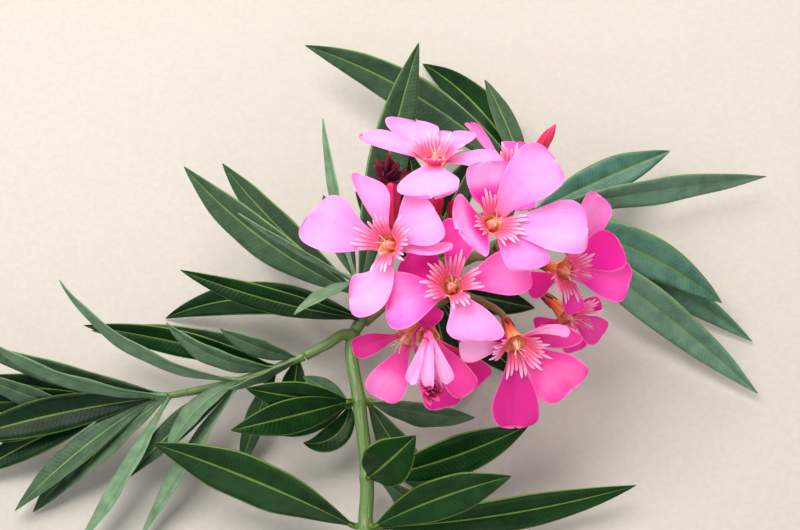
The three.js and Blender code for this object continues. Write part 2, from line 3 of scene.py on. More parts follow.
import bpy
import numpy as np
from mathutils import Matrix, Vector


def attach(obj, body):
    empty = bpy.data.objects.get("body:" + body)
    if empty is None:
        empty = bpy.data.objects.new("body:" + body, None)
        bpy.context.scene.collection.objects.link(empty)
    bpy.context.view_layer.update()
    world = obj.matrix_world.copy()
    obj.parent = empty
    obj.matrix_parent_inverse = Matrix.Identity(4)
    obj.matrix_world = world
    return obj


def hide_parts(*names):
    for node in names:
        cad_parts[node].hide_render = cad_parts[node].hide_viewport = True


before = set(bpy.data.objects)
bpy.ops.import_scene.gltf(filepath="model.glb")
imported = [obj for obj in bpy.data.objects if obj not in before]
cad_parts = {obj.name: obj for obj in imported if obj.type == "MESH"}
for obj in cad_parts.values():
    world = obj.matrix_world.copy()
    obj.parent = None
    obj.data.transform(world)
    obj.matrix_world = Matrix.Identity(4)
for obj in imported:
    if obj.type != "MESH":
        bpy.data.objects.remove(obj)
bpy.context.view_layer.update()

# Studio
# A plain pale table top, soft boxes above, at the left and in front, one low behind the
# flowers that shines through the petals, and a long lens that looks down on the branch.
LEAN = math.radians(28)
SHIFT = np.array([7.957, 17.338, 63.786])
EYE = 609.0
TABLE_HALF, TABLE_TOP = 2.0, -0.0006
SKY_STRENGTH = 0.42
LENS, SENSOR = 85, 36


def laid_back(points):
    """Turns points from the layout back by the lean, sets them on the table, in metres."""
    x, y, z = np.moveaxis(np.asarray(points, float), -1, 0)
    turned = (x, y * math.cos(LEAN) - z * math.sin(LEAN), y * math.sin(LEAN) + z * math.cos(LEAN))
    return (np.stack(turned, -1) + SHIFT) / 1000


def linear(code):
    """Colour of an sRGB hex code as linear light, by the sRGB curve."""
    shares = [int(code[i : i + 2], 16) / 255 for i in (1, 3, 5)]
    return [c / 12.92 if c <= 0.04045 else ((c + 0.055) / 1.055) ** 2.4 for c in shares] + [1]


def add(tree, kind, settings=None, **sockets):
    """Adds a shader node. Settings are its own. Each socket takes a value, another node's
    output, or a node itself, which gives its first output in use."""
    node = tree.nodes.new("ShaderNode" + kind)
    for name, value in (settings or {}).items():
        setattr(node, name, value)
    for name, value in sockets.items():
        key = name.replace("_", " ")
        socket = node.inputs[int(key[1:])] if key[0] == "i" and key[1:].isdigit() else node.inputs[key]
        if isinstance(value, bpy.types.Node):
            value = next(output for output in value.outputs if output.enabled)
        if isinstance(value, bpy.types.NodeSocket):
            tree.links.new(value, socket)
        else:
            socket.default_value = value
    return node


def bare_material(name):
    """New material whose node tree is still empty."""
    made = bpy.data.materials.new(name)
    made.use_nodes = True
    made.node_tree.nodes.clear()
    return made, made.node_tree


BLEND = {"data_type": "RGBA"}


def table_paper():
    """Matt off-white paper: a faint fibre mottle of about 2 mm gives it no shine and little tone."""
    made, tree = bare_material("matt_table_paper")
    place = add(tree, "TexCoord").outputs["Object"]
    fibre = add(tree, "TexNoise", Vector=place, Scale=500.0, Detail=3.0)
    tone = add(tree, "Mix", BLEND, i0=fibre, i6=linear("#a29e98"), i7=linear("#aeaaa3"))
    skin = add(tree, "BsdfPrincipled", Base_Color=tone, Roughness=0.85)
    add(tree, "OutputMaterial", Surface=skin)
    return made


def soft_box(name, towards_light, reach, side, power, colour):
    """Square soft box, reach metres from the flowers in a layout direction, turned to them."""
    lamp = bpy.data.lights.new(name, "AREA")
    lamp.size = side
    lamp.energy = power
    lamp.color = linear(colour)[:3]
    held = bpy.data.objects.new(name, lamp)
    way = laid_back(towards_light) - laid_back((0, 0, 0))
    way = way / np.linalg.norm(way)
    held.location = laid_back((0, 0, 0)) + way * reach
    held.rotation_euler = (-Vector(way)).to_track_quat("-Z", "Y").to_euler()
    bpy.context.scene.collection.objects.link(held)


table_mesh = bpy.data.meshes.new("table")
table_ring = [(-1, -1), (1, -1), (1, 1), (-1, 1)]
table_corners = [(x * TABLE_HALF, y * TABLE_HALF, TABLE_TOP) for x, y in table_ring]
table_mesh.from_pydata(table_corners, [], [(0, 1, 2, 3)])
table = bpy.data.objects.new("table", table_mesh)
table_mesh.materials.append(table_paper())
bpy.context.scene.collection.objects.link(table)

soft_box("overhead_box", (-0.35, 0.75, 0.75), 0.9, 0.6, 13.0, "#fff8f0")
soft_box("back_box", (0.3, 1.0, 0.05), 0.9, 0.6, 7.0, "#fff4ec")
soft_box("left_box", (-1.0, 0.1, 0.35), 1.0, 0.8, 4.0, "#eef4ff")
soft_box("front_box", (0.25, -0.6, 1.0), 1.0, 0.8, 5.0, "#fffaf6")

sky = bpy.data.worlds.new("studio")
sky.use_nodes = True
sky.node_tree.nodes["Background"].inputs["Color"].default_value = linear("#e8eef4")
sky.node_tree.nodes["Background"].inputs["Strength"].default_value = SKY_STRENGTH
bpy.context.scene.world = sky
bpy.context.scene.view_settings.view_transform = "Standard"

lens = bpy.data.cameras.new("camera")
lens.lens = LENS
lens.sensor_width = SENSOR
lens.clip_start = 0.01
camera = bpy.data.objects.new("camera", lens)
camera.location = laid_back((0, 0, EYE))
camera.rotation_euler = (LEAN, 0, 0)
bpy.context.scene.collection.objects.link(camera)
bpy.context.scene.camera = camera

# Main stem
# Young oleander wood: a green shoot that turns brown towards the cut, with raised leaf
# scars at each whorl and fine lengthwise wrinkles. It is one limb that tapers to the tip.
STEM_FOOT, STEM_TIP = 2.7, 1.6
STEM_POINTS = [[-17, -150, 12.2], [-13.5, -119, -1], [-11.6, -87, -17.8], [-11, -71, -21]]
STEM_POINTS += [[-13.8, -46, -27], [-16, -24, -35], [-2, -10, -44], [26, 3, -52], [44, 13, -56]]
STEM_POINTS = np.array(STEM_POINTS, float)
RAD = math.pi / 180


def unit(vectors):
    """Vectors scaled to length one."""
    return vectors / np.maximum(np.linalg.norm(vectors, axis=-1, keepdims=True), 1e-9)


def smooth_line(points, t):
    """Centripetal Catmull-Rom curve through points, at shares t of its spans."""
    points = np.asarray(points, float)
    t = np.clip(np.asarray(t, float), 0, 1) * (len(points) - 1)
    span = np.minimum(t.astype(int), len(points) - 2)
    ends = np.vstack([2 * points[0] - points[1], points, 2 * points[-1] - points[-2]])
    a, b, c, d = (ends[span + k] for k in range(4))
    gap = [np.linalg.norm(q - p, axis=-1, keepdims=True) ** 0.5 for p, q in ((a, b), (b, c), (c, d))]
    start = ((b - a) / gap[0] - (c - a) / (gap[0] + gap[1]) + (c - b) / gap[1]) * gap[1]
    finish = ((c - b) / gap[1] - (d - b) / (gap[1] + gap[2]) + (d - c) / gap[2]) * gap[1]
    w = (t - span)[..., None]
    cubic = 2 * b - 2 * c + start + finish
    square = -3 * b + 3 * c - 2 * start - finish
    return b + start * w + square * w**2 + cubic * w**3


def tangents(line):
    """Unit directions along a line of points, from each point's two neighbours."""
    return unit(np.gradient(line, axis=0))


def once_round(sides):
    """Angles of one full turn in even steps, as a row."""
    return np.linspace(0, 2 * math.pi, sides, endpoint=False)[None, :]


def tube_rings(line, radius, sides, relief=None):
    """Rings round a line: centre plus radius times a spoke that turns once about the tangent."""
    along = tangents(line)
    chord = np.abs(line[-1] - line[0])
    across = np.eye(3)[int(np.argmin(chord))] - along * along[:, [int(np.argmin(chord))]]
    across = unit(across)
    up = np.cross(along, across)
    turn = once_round(sides).T
    spoke = across[:, None] * np.cos(turn) + up[:, None] * np.sin(turn)
    reach = np.asarray(radius, float)[:, None] + (0 if relief is None else relief)
    return line[:, None] + spoke * np.broadcast_to(reach, (len(line), sides))[..., None]


def tube_uv(line, sides):
    """Position round the tube and length along it, both as shares of 100 mm."""
    length = np.concatenate([[0], np.cumsum(np.linalg.norm(np.diff(line, axis=0), axis=1))])
    u = np.linspace(0, 1, sides, endpoint=False)
    return np.stack(np.broadcast_arrays(u[None, :], length[:, None] / 100), -1)


def skin(rings, uv, tone=0.0, slot=0, flat=False):
    """Closed body through rings, with an end face over each end, or for a flat blade a strip
    of faces from its face to its back. Uv and tone go with the points."""
    rows, sides = rings.shape[:2]
    k = np.arange(rows - 1)[:, None] * sides
    i = np.arange(sides)[None, :]
    j = (i + 1) % sides
    quads = np.stack([k + i, k + j, k + sides + j, k + sides + i], -1).reshape(-1, 4)
    points = rings.reshape(-1, 3)
    caps = [np.arange(sides)[::-1], (rows - 1) * sides + np.arange(sides)]
    if flat:
        n = np.arange(1, sides // 2 - 1)
        strip = np.stack([n, n + 1, sides - n - 1, sides - n], -1).tolist()
        strip += [[0, 1, sides - 1], [sides // 2 - 1, sides // 2, sides // 2 + 1]]
        last = (rows - 1) * sides
        caps = [np.array(face)[::-1] for face in strip] + [np.array(face) + last for face in strip]
    corner = points[quads]
    inside = points.mean(0)
    area = np.cross(corner[:, 2] - corner[:, 0], corner[:, 3] - corner[:, 1])
    if ((corner.mean(1) - inside) * area).sum() < 0:
        quads = quads[:, ::-1]
        caps = [cap[::-1] for cap in caps]
    slots = np.broadcast_to(np.asarray(slot), (rows - 1, sides)).reshape(-1)
    tones = np.broadcast_to(np.asarray(tone, float), (rows, sides)).reshape(-1)
    return points, quads, caps, uv.reshape(-1, 2), slots, tones


def piece(name, bodies, materials, slot, *nodes):
    """One smooth mesh of closed bodies, laid back, in metres. It rides on the branch and
    stands for the nodes named."""
    points, faces, slots, uv, tones, count = [], [], [], [], [], 0
    for body_points, quads, caps, body_uv, body_slots, body_tones in bodies:
        points.append(body_points)
        faces += (quads + count).tolist() + [(cap + count).tolist() for cap in caps]
        slots.append(np.concatenate([body_slots, np.full(len(caps), body_slots[0])]))
        uv.append(body_uv)
        tones.append(body_tones)
        count += len(body_points)
    mesh = bpy.data.meshes.new(name)
    mesh.from_pydata(laid_back(np.vstack(points)), [], faces)
    corners = np.zeros(len(mesh.loops), int)
    mesh.loops.foreach_get("vertex_index", corners)
    layer = mesh.uv_layers.new(name="pattern")
    layer.data.foreach_set("uv", np.vstack(uv)[corners].astype(np.float32).ravel())
    tone = mesh.attributes.new("tone", "FLOAT", "POINT")
    tone.data.foreach_set("value", np.concatenate(tones).astype(np.float32))
    for material in materials:
        mesh.materials.append(material)
    mesh.polygons.foreach_set("material_index", np.concatenate(slots).astype(np.int32))
    mesh.polygons.foreach_set("use_smooth", np.ones(len(faces), bool))
    mesh.update()
    made = bpy.data.objects.new(name, mesh)
    bpy.context.scene.collection.objects.link(made)
    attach(made, "root")
    if nodes:
        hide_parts(*nodes)
    return made


TIMES, TIMES_PLUS = {"operation": "MULTIPLY"}, {"operation": "MULTIPLY_ADD"}


def young_bark(name, green, brown, flush):
    """Smooth young bark with a waxy skin: long wrinkles about 1 mm apart, patches of 17 mm and
    pale breathing pores 2.4 mm apart, greener where it is young. Satin, so it shows a soft
    streak of light."""
    made, tree = bare_material(name)
    place = add(tree, "TexCoord").outputs
    uv = add(tree, "Mapping", Vector=place["UV"], Scale=(14.0, 12.0, 1.0))
    wrinkle = add(tree, "TexNoise", Vector=uv, Scale=1.0, Detail=4.0, Roughness=0.6)
    spots = add(tree, "TexVoronoi", Vector=place["Object"], Scale=420.0)
    pore = add(tree, "MapRange", Value=spots, From_Min=0.1, From_Max=0.2, To_Min=1.0, To_Max=0.0)
    patches = add(tree, "TexNoise", Vector=place["Object"], Scale=60.0, Detail=3.0)
    age = add(tree, "Attribute", {"attribute_name": "tone"}).outputs["Fac"]
    older = add(tree, "Math", TIMES_PLUS, i0=patches, i1=0.5, i2=age)
    young = add(tree, "Mix", BLEND, i0=wrinkle, i6=linear(green), i7=linear(flush))
    worn = add(tree, "MapRange", Value=older, From_Min=0.55, From_Max=1.1)
    aged = add(tree, "Mix", BLEND, i0=worn, i6=young, i7=linear(brown))
    dots = add(tree, "Math", TIMES, i0=pore, i1=0.35)
    dotted = add(tree, "Mix", BLEND, i0=dots, i6=aged, i7=linear("#9a946a"))
    bump = add(tree, "Bump", Strength=0.5, Distance=0.0004, Height=wrinkle)
    body = add(tree, "BsdfPrincipled", Base_Color=dotted, Roughness=0.42, Normal=bump)
    add(tree, "OutputMaterial", Surface=body)
    return made


stem_bark = young_bark("young_oleander_bark", "#456028", "#4e4226", "#628044")
cut_wood = young_bark("cut_pale_wood", "#cdbf8e", "#b39f6a", "#e0d6a8")
stalk_skin = young_bark("green_flower_stalk", "#5c6630", "#7c3630", "#7f7440")

STEM_SIDES, CUT_SIDES = 48, 32
SPANS = len(STEM_POINTS) - 1
SCAR_HIGH, SCAR_SHARE = 0.5, 0.008
CUT_SHARE = 0.0012
stem_t = np.linspace(0, 1, 361)
stem_line = smooth_line(STEM_POINTS, stem_t)
stem_radius = STEM_FOOT + (STEM_TIP - STEM_FOOT) * stem_t
whorl_swelling = sum(np.exp(-(((stem_t - k / SPANS) / SCAR_SHARE) ** 2)) for k in (1, 2, 3, 4, 5))
around = once_round(STEM_SIDES)
bark_relief = 0.1 * np.sin(9 * around + 14 * stem_t[:, None]) * np.sin(70 * stem_t[:, None])
bark_relief = bark_relief + 0.06 * np.sin(17 * around - 40 * stem_t[:, None])
bark_relief = bark_relief + SCAR_HIGH * whorl_swelling[:, None] * (0.7 + 0.3 * np.cos(3 * around))
stem_rings = tube_rings(stem_line, stem_radius, STEM_SIDES, bark_relief)
stem_age = np.clip(0.62 - 1.5 * stem_t, 0, 1)[:, None]
stem_body = skin(stem_rings, tube_uv(stem_line, STEM_SIDES), stem_age)
piece("stem_bark", [stem_body], [stem_bark], "stem", "main_stem")
cut_line = smooth_line(STEM_POINTS, CUT_SHARE * np.linspace(0, 1, 3)) + np.array([0, -0.04, 0.01])
cut_rings = tube_rings(cut_line, [2.1, 2.2, 2.1], CUT_SIDES)
piece("cut_wood", [skin(cut_rings, tube_uv(cut_line, CUT_SIDES), 0.1)], [cut_wood], "stem")

# Side shoot and twigs
# One thin green shoot leaves the stem at the fork, and the leaf masses stand on short
# twigs that carry on from it and from the stem.
SHOOT_POINTS = [[-19.15, -23.6, -32.95], [-25, -27, -30.5], [-32, -30.6, -29]]
INNER_POINTS = [[-32.5, -30.8, -28.9], [-44, -35.6, -28], [-56.2, -39.6, -28], [-71.7, -43, -29]]
OUTER_POINTS = [[-72.4, -43.1, -29.1], [-84, -45.2, -30], [-94.2, -47, -30.6], [-108, -49.4, -31]]
UPPER_POINTS = [[-13.2, -19.9, -33.7], [-13.4, -15, -31.5], [-14, -9, -30], [-15, -5, -28.5]]
RIGHT_POINTS = [[44.75, 13.5, -56.1], [45.7, 14.9, -56.5], [46.2, 17.4, -57.2], [46.3, 20.2, -57.9]]
TOP_POINTS = [[46.3, 21.8, -58.6], [46, 26, -60], [44.8, 31.4, -62]]


def limb(points, foot, tip, steps=60, sides=20, age=0.0):
    """Limb through points that tapers evenly from foot to tip radius, faintly ribbed."""
    t = np.linspace(0, 1, steps)
    line = smooth_line(points, t)
    turn = once_round(sides)
    ribs = 0.05 * foot * np.sin(7 * turn + 20 * t[:, None])
    rings = tube_rings(line, foot + (tip - foot) * t, sides, ribs)
    return skin(rings, tube_uv(line, sides), age)


shoot_body = limb([STEM_POINTS[5] + (0, 0, 1), *SHOOT_POINTS], 2.1, 1.6, age=0.1)
piece("side_shoot", [shoot_body], [stem_bark], "stem", "left_shoot")
twigs = [
    limb(INNER_POINTS, 1.55, 1.3, age=0.05),
    limb([INNER_POINTS[-1], *OUTER_POINTS], 1.3, 0.8),
    limb([STEM_POINTS[5] + (1, 2, 1), *UPPER_POINTS], 1.6, 0.9),
    limb([STEM_POINTS[8], *RIGHT_POINTS, *TOP_POINTS], 1.5, 0.9),
]
piece("leaf_twigs", twigs, [stem_bark], "stem")

# Leaves
# Leathery evergreen leaves in whorls: narrow, pointed, folded along a pale midrib that
# stands out below, glossy dark green above, and matt grey-green with fine side veins below.
LEAF_FOLD = math.radians(13)
LEAF_BULGE, LEAF_BLUNT = 1.06, 0.9
LEAF_STALK, STALK_SHARE, LEAF_OFF = 0.95, 0.1, 1.45
BLADE_THICK, STALK_THICK = 0.28, 0.55
MIDRIB_HIGH, GROOVE_DEEP = 0.5, 0.22
MIDRIB_WIDE, GROOVE_WIDE = 0.5, 0.55
LEAF_WAVE, RIM_WAVE, RIM_ROLL = 0.055, 0.03, 0.1
LEAF_STEPS = 44
SIDE_VEINS = 1.6
LEAF_ACROSS = np.array([0.05, 0.13, 0.27, 0.44, 0.62, 0.8, 0.93, 1.0])
LEAF_ACROSS = np.concatenate([-LEAF_ACROSS[::-1], [0.0], LEAF_ACROSS])


def towards(heading, rise):
    """Unit direction from a heading in the picture and a rise towards the eye, in degrees."""
    h, r = np.broadcast_arrays(np.asarray(heading, float) * RAD, np.asarray(rise, float) * RAD)
    return np.stack([np.cos(h) * np.cos(r), np.sin(h) * np.cos(r), np.sin(r)], -1)


def travelled(start, along, s, length):
    """Line from a start: the mean direction of each step, summed over the length."""
    step = (along[1:] + along[:-1]) / 2 * np.diff(s)[:, None] * length
    return start + np.vstack([np.zeros(3), np.cumsum(step, axis=0)])


def tilted(side, up, turn):
    """Side and up, both turned about the direction they stand square to."""
    return side * np.cos(turn) + up * np.sin(turn), up * np.cos(turn) - side * np.sin(turn)


def spine(root, heading, rise, turn, s, length):
    """Midline of a blade, with its side and up: directions by heading and rise, summed from
    the root over the length. The side lies flat across the heading, then turns about it."""
    along = towards(heading, rise)
    h = np.asarray(heading, float) * RAD
    side = np.stack([-np.sin(h), np.cos(h), 0 * h], -1)
    up = np.cross(along, side)
    turn = np.broadcast_to(np.asarray(turn, float) * RAD, h.shape)[:, None]
    return travelled(root, along, s, length), *tilted(side, up, turn)


def blade_rings(centre, side, up, out, high, thick):
    """Rings of a thin blade: over its face from one rim to the other, and back beneath.
    Out and high are the offsets of its middle surface, thick the gap from face to back."""
    middle = centre[:, None] + side[:, None] * out[..., None] + up[:, None] * high[..., None]
    top = middle + up[:, None] * thick[0][..., None]
    under = middle - up[:, None] * thick[1][..., None]
    return np.concatenate([top, under[:, -2:0:-1]], 1)


def there_and_back(values):
    """Values across a blade, repeated the other way for its back."""
    return np.concatenate([values, values[:, -2:0:-1]], 1)


def blade_uv(across, along):
    """Position across and along a blade, the same on its face and its back."""
    return there_and_back(np.stack(np.broadcast_arrays(across, along), -1))


def leaf(root, row, number):
    """Leaf from heading, rise, length, width, sweep, droop and roll. Half width is
    sin(pi s^1.06)^0.9, the halves fold up by 13 degrees, and the rims wave and roll under.
    Its tone is the share of a painted grey sheen, the light that a leaf reflects: more on a leaf
    that stands on edge. Its midrib and the narrow band along each rim are paler than the blade."""
    heading, rise, length, width, sweep, droop, roll = row
    s = 1 - (1 - np.linspace(0, 1, LEAF_STEPS)) ** 1.25
    s = s * 0.996
    t = LEAF_ACROSS[None, :]
    turned = heading + sweep * (s - 0.5)
    lifted = rise - droop * (s - 0.5)
    centre, side, up = spine(root, turned, lifted, roll, s, length)
    petiole = 1 - np.clip(s / STALK_SHARE, 0, 1)
    blade = width / 2 * np.sin(math.pi * s**LEAF_BULGE) ** LEAF_BLUNT
    half = np.maximum(blade, LEAF_STALK * (1 - s) ** 2)[:, None]
    phase = 2.4 * number
    beat = 2 * math.pi * (3.1 * s[:, None] + 0.13 * np.sign(t)) + phase
    wave = LEAF_WAVE * half * t**2 * np.sin(beat)
    wave = wave + RIM_WAVE * half * np.abs(t) ** 3 * np.sin(17 * s[:, None] + 1.7 * phase)
    rolled = RIM_ROLL * half * np.clip((np.abs(t) - 0.75) / 0.25, 0, 1) ** 2
    out = half * t * math.cos(LEAF_FOLD)
    high = half * math.sin(LEAF_FOLD) * np.abs(t) ** 1.35 - rolled + wave
    x = half * t
    body = (BLADE_THICK + STALK_THICK * petiole[:, None]) * (1 - t**8)
    groove = GROOVE_DEEP * np.exp(-((x / GROOVE_WIDE) ** 2)) * (1 - petiole[:, None])
    ridge = MIDRIB_HIGH * np.exp(-((x / MIDRIB_WIDE) ** 2)) * (1 - s[:, None]) ** 0.6
    rings = blade_rings(centre, side, up, out, high, (body - groove, body + ridge))
    uv = blade_uv(x / 100 + 0.5, s[:, None] * length / 100)
    bands = LEAF_ACROSS.size - 1
    band = np.arange(2 * bands)
    from_rim = np.minimum(band % bands, bands - 1 - band % bands)
    pale = (from_rim == 0) | (from_rim == bands // 2 - 1)
    slots = np.where(pale, 2, band // bands)
    # The share of painted grey sheen grows with the roll, on leaves that stand on edge.
    painted_sheen_share = 0.8 * np.clip((abs(roll) - 12) / 38, 0, 1)
    return skin(rings, uv, painted_sheen_share, np.broadcast_to(slots, (len(s) - 1, band.size)), True)


def leaf_face(name, dark, light, vein, gloss, wax, mottle, lift):
    """Waxy leaf skin: soft mottles of about 4 mm, and side veins 1.6 mm apart that lean to
    the tip and show paler, drawn coarser than real ones so that they show. Wax gives the
    face its gloss, and where the leaf's tone asks for it a pale grey painted sheen is mixed
    into its colour."""
    made, tree = bare_material(name)
    place = add(tree, "TexCoord").outputs
    split = add(tree, "SeparateXYZ", Vector=place["UV"]).outputs
    across = add(tree, "Math", {"operation": "SUBTRACT"}, i0=split["X"], i1=0.5)
    across = add(tree, "Math", {"operation": "ABSOLUTE"}, i0=across)
    lean = add(tree, "Math", TIMES_PLUS, i0=across, i1=-0.55, i2=split["Y"])
    beat = add(tree, "Math", TIMES, i0=lean, i1=200 * math.pi / SIDE_VEINS)
    line = add(tree, "Math", {"operation": "SINE"}, i0=beat)
    veins = add(tree, "MapRange", Value=line, From_Min=0.2, From_Max=1.0)
    cloud = add(tree, "TexNoise", Vector=place["Object"], Scale=230.0, Detail=4.0, Roughness=0.6)
    broad = add(tree, "TexNoise", Vector=place["Object"], Scale=38.0, Detail=2.0)
    patch = add(tree, "MapRange", Value=cloud, From_Min=0.35, From_Max=0.7, To_Max=mottle)
    shade = add(tree, "Mix", BLEND, i0=patch, i6=linear(dark), i7=linear(light))
    large = add(tree, "MapRange", Value=broad, From_Min=0.4, From_Max=0.7, To_Max=0.5)
    shade = add(tree, "Mix", BLEND, i0=large, i6=shade, i7=linear(light))
    marked = add(tree, "Math", TIMES, i0=veins, i1=lift)
    shade = add(tree, "Mix", BLEND, i0=marked, i6=shade, i7=linear(vein))
    # Painted sheen: the leaf's tone mixes a pale grey into the colour, for the light that leaves on edge
    # reflect.
    painted_sheen = add(tree, "Attribute", {"attribute_name": "tone"}).outputs["Fac"]
    uneven = add(tree, "MapRange", Value=cloud, From_Min=0.3, From_Max=0.7, To_Min=0.6)
    painted_sheen = add(tree, "Math", TIMES, i0=painted_sheen, i1=uneven)
    shade = add(tree, "Mix", BLEND, i0=painted_sheen, i6=shade, i7=linear("#7c9c7c"))
    height = add(tree, "Math", TIMES_PLUS, i0=veins, i1=0.5, i2=cloud)
    bump = add(tree, "Bump", Strength=0.28, Distance=0.0003, Height=height)
    finish = {"Roughness": gloss, "Specular_IOR_Level": wax}
    body = add(tree, "BsdfPrincipled", Base_Color=shade, Normal=bump, **finish)
    shine = add(tree, "BsdfTranslucent", Color=linear(light))
    both = add(tree, "MixShader", i0=0.12, i1=body, i2=shine)
    add(tree, "OutputMaterial", Surface=both)
    return made


leaf_upper = {
    "old": leaf_face("glossy_old_leaf_face", "#04190a", "#0f3014", "#203f1a", 0.36, 0.12, 0.6, 0.08),
    "dark": leaf_face("glossy_leaf_face", "#041d07", "#0d360f", "#204a18", 0.36, 0.14, 0.6, 0.08),
    "fresh": leaf_face("glossy_young_leaf_face", "#042004", "#0d3c0b", "#24541a", 0.36, 0.14, 0.5, 0.08),
    # This kind's pale grey-green face is painted sheen: the light that these leaves reflect, mixed into
    # their colour.
    "painted_pale_sheen": leaf_face("painted_sheen_leaf_face", "#2a5444", "#4c7a66", "#6c9680", 0.45, 0.4, 0.8, 0.1),
}
leaf_under = {
    "old": leaf_face("matt_old_leaf_back", "#2c5430", "#4c7650", "#6c9468", 0.55, 0.3, 0.8, 0.3),
    "dark": leaf_face("matt_leaf_back", "#3c6640", "#608c60", "#84a878", 0.55, 0.3, 0.8, 0.3),
    "fresh": leaf_face("matt_young_leaf_back", "#4c7a44", "#709c58", "#94b878", 0.55, 0.3, 0.7, 0.3),
    "painted_pale_sheen": leaf_face("dusty_leaf_back", "#4c7660", "#749a80", "#94b498", 0.55, 0.3, 0.8, 0.3),
}
leaf_rib = leaf_face("pale_leaf_midrib", "#46641e", "#62802e", "#7c9444", 0.45, 0.3, 0.7, 0.1)

# Each leaf's heading in the picture, rise towards the eye, length, width, sweep, droop and
# roll. A twig's leaves have their place along it first.
FOOT_WHORL = [(196, 9, 78, 14, 14, 6, -20), (318, 22, 70, 14, -16, 6, 16), (352, 5, 84, 15, 18, 8, 24)]
LOWER_WHORL = [(157, 5, 72, 17, 10, 10, -14), (23, 22, 52, 15, -14, 8, 14), (9, -2, 88, 12, 12, 6, 10)]
MIDDLE_WHORL = [(46, 48, 34, 17, 0, 50, 0), (20, 9, 54, 14, 14, 8, 6), (318, 0, 26, 9, -20, 10, 30)]
FORK_WHORL = [
    (192, 26, 44, 12, 0, 24, 0),
    (171, 25, 38, 11, -8, 20, -8),
    (220, 16, 24, 9, -110, 0, 0),
    (199, 6, 30, 5, -50, 10, 0),
    (150, 10, 18, 7, 0, 0, 30),
    (350, -14, 38, 12, 14, 10, 40),
    (305, 0, 40, 12, 10, 0, 20),
]
HEAD_WHORL = [
    (96, -4, 42, 13, 8, 6, 10),
    (64, -8, 46, 13, -8, 6, -10),
    (130, -8, 36, 12, 8, 6, 10),
    (282, 5, 42, 12, -8, 0, 10),
    (316, 2, 46, 12, 8, 4, 0),
    (348, -4, 38, 12, 0, 6, -10),
]
INNER_WHORLS = [
    (0.05, (203, 16, 27, 9, -10, 10, -70)),
    (0.05, (262, -2, 19, 9, 6, 0, 10)),
    (0.05, (158, 22, 30, 8, -20, 10, -30)),
    (0.05, (173, -10, 74, 10, 10, 6, -20)),
    (0.26, (157, 14, 42, 9, -50, 10, -40)),
    (0.26, (168, -4, 68, 9.4, 8, 6, -10)),
    (0.26, (250, -10, 38, 8, 10, 6, 20)),
    (0.6, (150, 13, 72, 9.4, -50, 14, -56)),
    (0.6, (226, 14, 37, 9, 50, 10, 40)),
    (0.6, (221, 4, 50, 9.4, 20, 10, 20)),
    (0.6, (238, 6, 64, 8.4, 8, 10, 50)),
]
OUTER_WHORLS = [
    (0.16, (165, 3, 72, 9.6, -12, 10, -30)),
    (0.16, (161, 12, 68, 10, -34, 14, -56)),
    (0.16, (222, 4, 50, 9.6, 16, 10, 30)),
    (0.16, (240, 14, 60, 9, -8, 10, 50)),
    (0.3, (192, 4, 68, 13, 12, 8, 6)),
    (0.3, (219, 7, 60, 10, 16, 10, 26)),
    (0.3, (173, -2, 62, 10, -8, 8, -16)),
    (0.7, (180, 0, 52, 10, 10, 6, -10)),
    (0.7, (206, 0, 56, 11, 12, 6, 10)),
    (0.7, (232, 5, 46, 10, -10, 8, 20)),
    (0.97, (196, 2, 38, 10, 10, 6, 0)),
    (0.97, (160, 8, 40, 9, -16, 10, -30)),
]
UPPER_WHORLS = [
    (0.12, (165, 0, 64, 9, -14, 6, -10)),
    (0.12, (181, -22, 78, 12, 46, 8, 10)),
    (0.6, (144, -12, 78, 14, -24, 8, -24)),
    (0.6, (77, -20, 98, 15, -6, 10, 20)),
    (0.6, (137, -34, 84, 12, -16, 8, -20)),
    (0.96, (150, 8, 46, 5, -6, 12, -60)),
    (0.96, (102, -20, 62, 6, -8, 10, -50)),
    (0.96, (208, 26, 26, 8, 20, 20, 60)),
    (0.96, (112, -42, 44, 9, 0, 10, 20)),
]
RIGHT_WHORLS = [
    (0.52, (336, 6, 74, 16, -30, 14, 14)),
    (0.52, (322, 7, 100, 15, -10, 10, 30)),
    (0.52, (331, 0, 90, 12, -16, 8, 20)),
    (0.78, (9, -12, 90, 11, -6, 6, 30)),
    (0.78, (24, -22, 62, 13, -6, 6, -10)),
]
TOP_WHORLS = [
    (0.8, (147, -20, 104, 15, 26, 8, -20)),
    (0.8, (128, -40, 80, 14, 34, 8, 10)),
    (0.8, (110, -30, 48, 9, 10, 0, 20)),
]


def leaf_mass(name, node, bodies, kind):
    """The leaves of one mass as one piece with its face, back and midrib."""
    return piece(name, bodies, [leaf_upper[kind], leaf_under[kind], leaf_rib], "leaves", node)


def whorl(k, rows, first):
    """Leaves round the stem at a way point, each on a short leaf stalk out of its bark."""
    below, centre, above = smooth_line(STEM_POINTS, [k / SPANS - 0.01, k / SPANS, k / SPANS + 0.01])
    along = unit(above - below)
    radius = STEM_FOOT + (STEM_TIP - STEM_FOOT) * k / SPANS
    bodies = []
    for n, row in enumerate(rows):
        way = towards(row[0] - row[4] / 2, row[1] + row[5] / 2)
        out = unit(way - along * (way @ along))
        root = centre + out * (radius + LEAF_OFF)
        bodies.append(leaf(root, row, first + n))
        line = [centre + out * (radius * 0.6), centre + out * radius, root, root + way * 2]
        body = limb(line, 1.3, 0.9, 12, 14)
        bodies.append(body[:4] + (np.full(len(body[4]), 2),) + body[5:])
    return bodies


def twig_leaves(points, rows, first):
    """Leaves along a twig, each rooted on its axis at its place."""
    return [leaf(smooth_line(points, [at])[0], row, first + n) for n, (at, row) in enumerate(rows)]


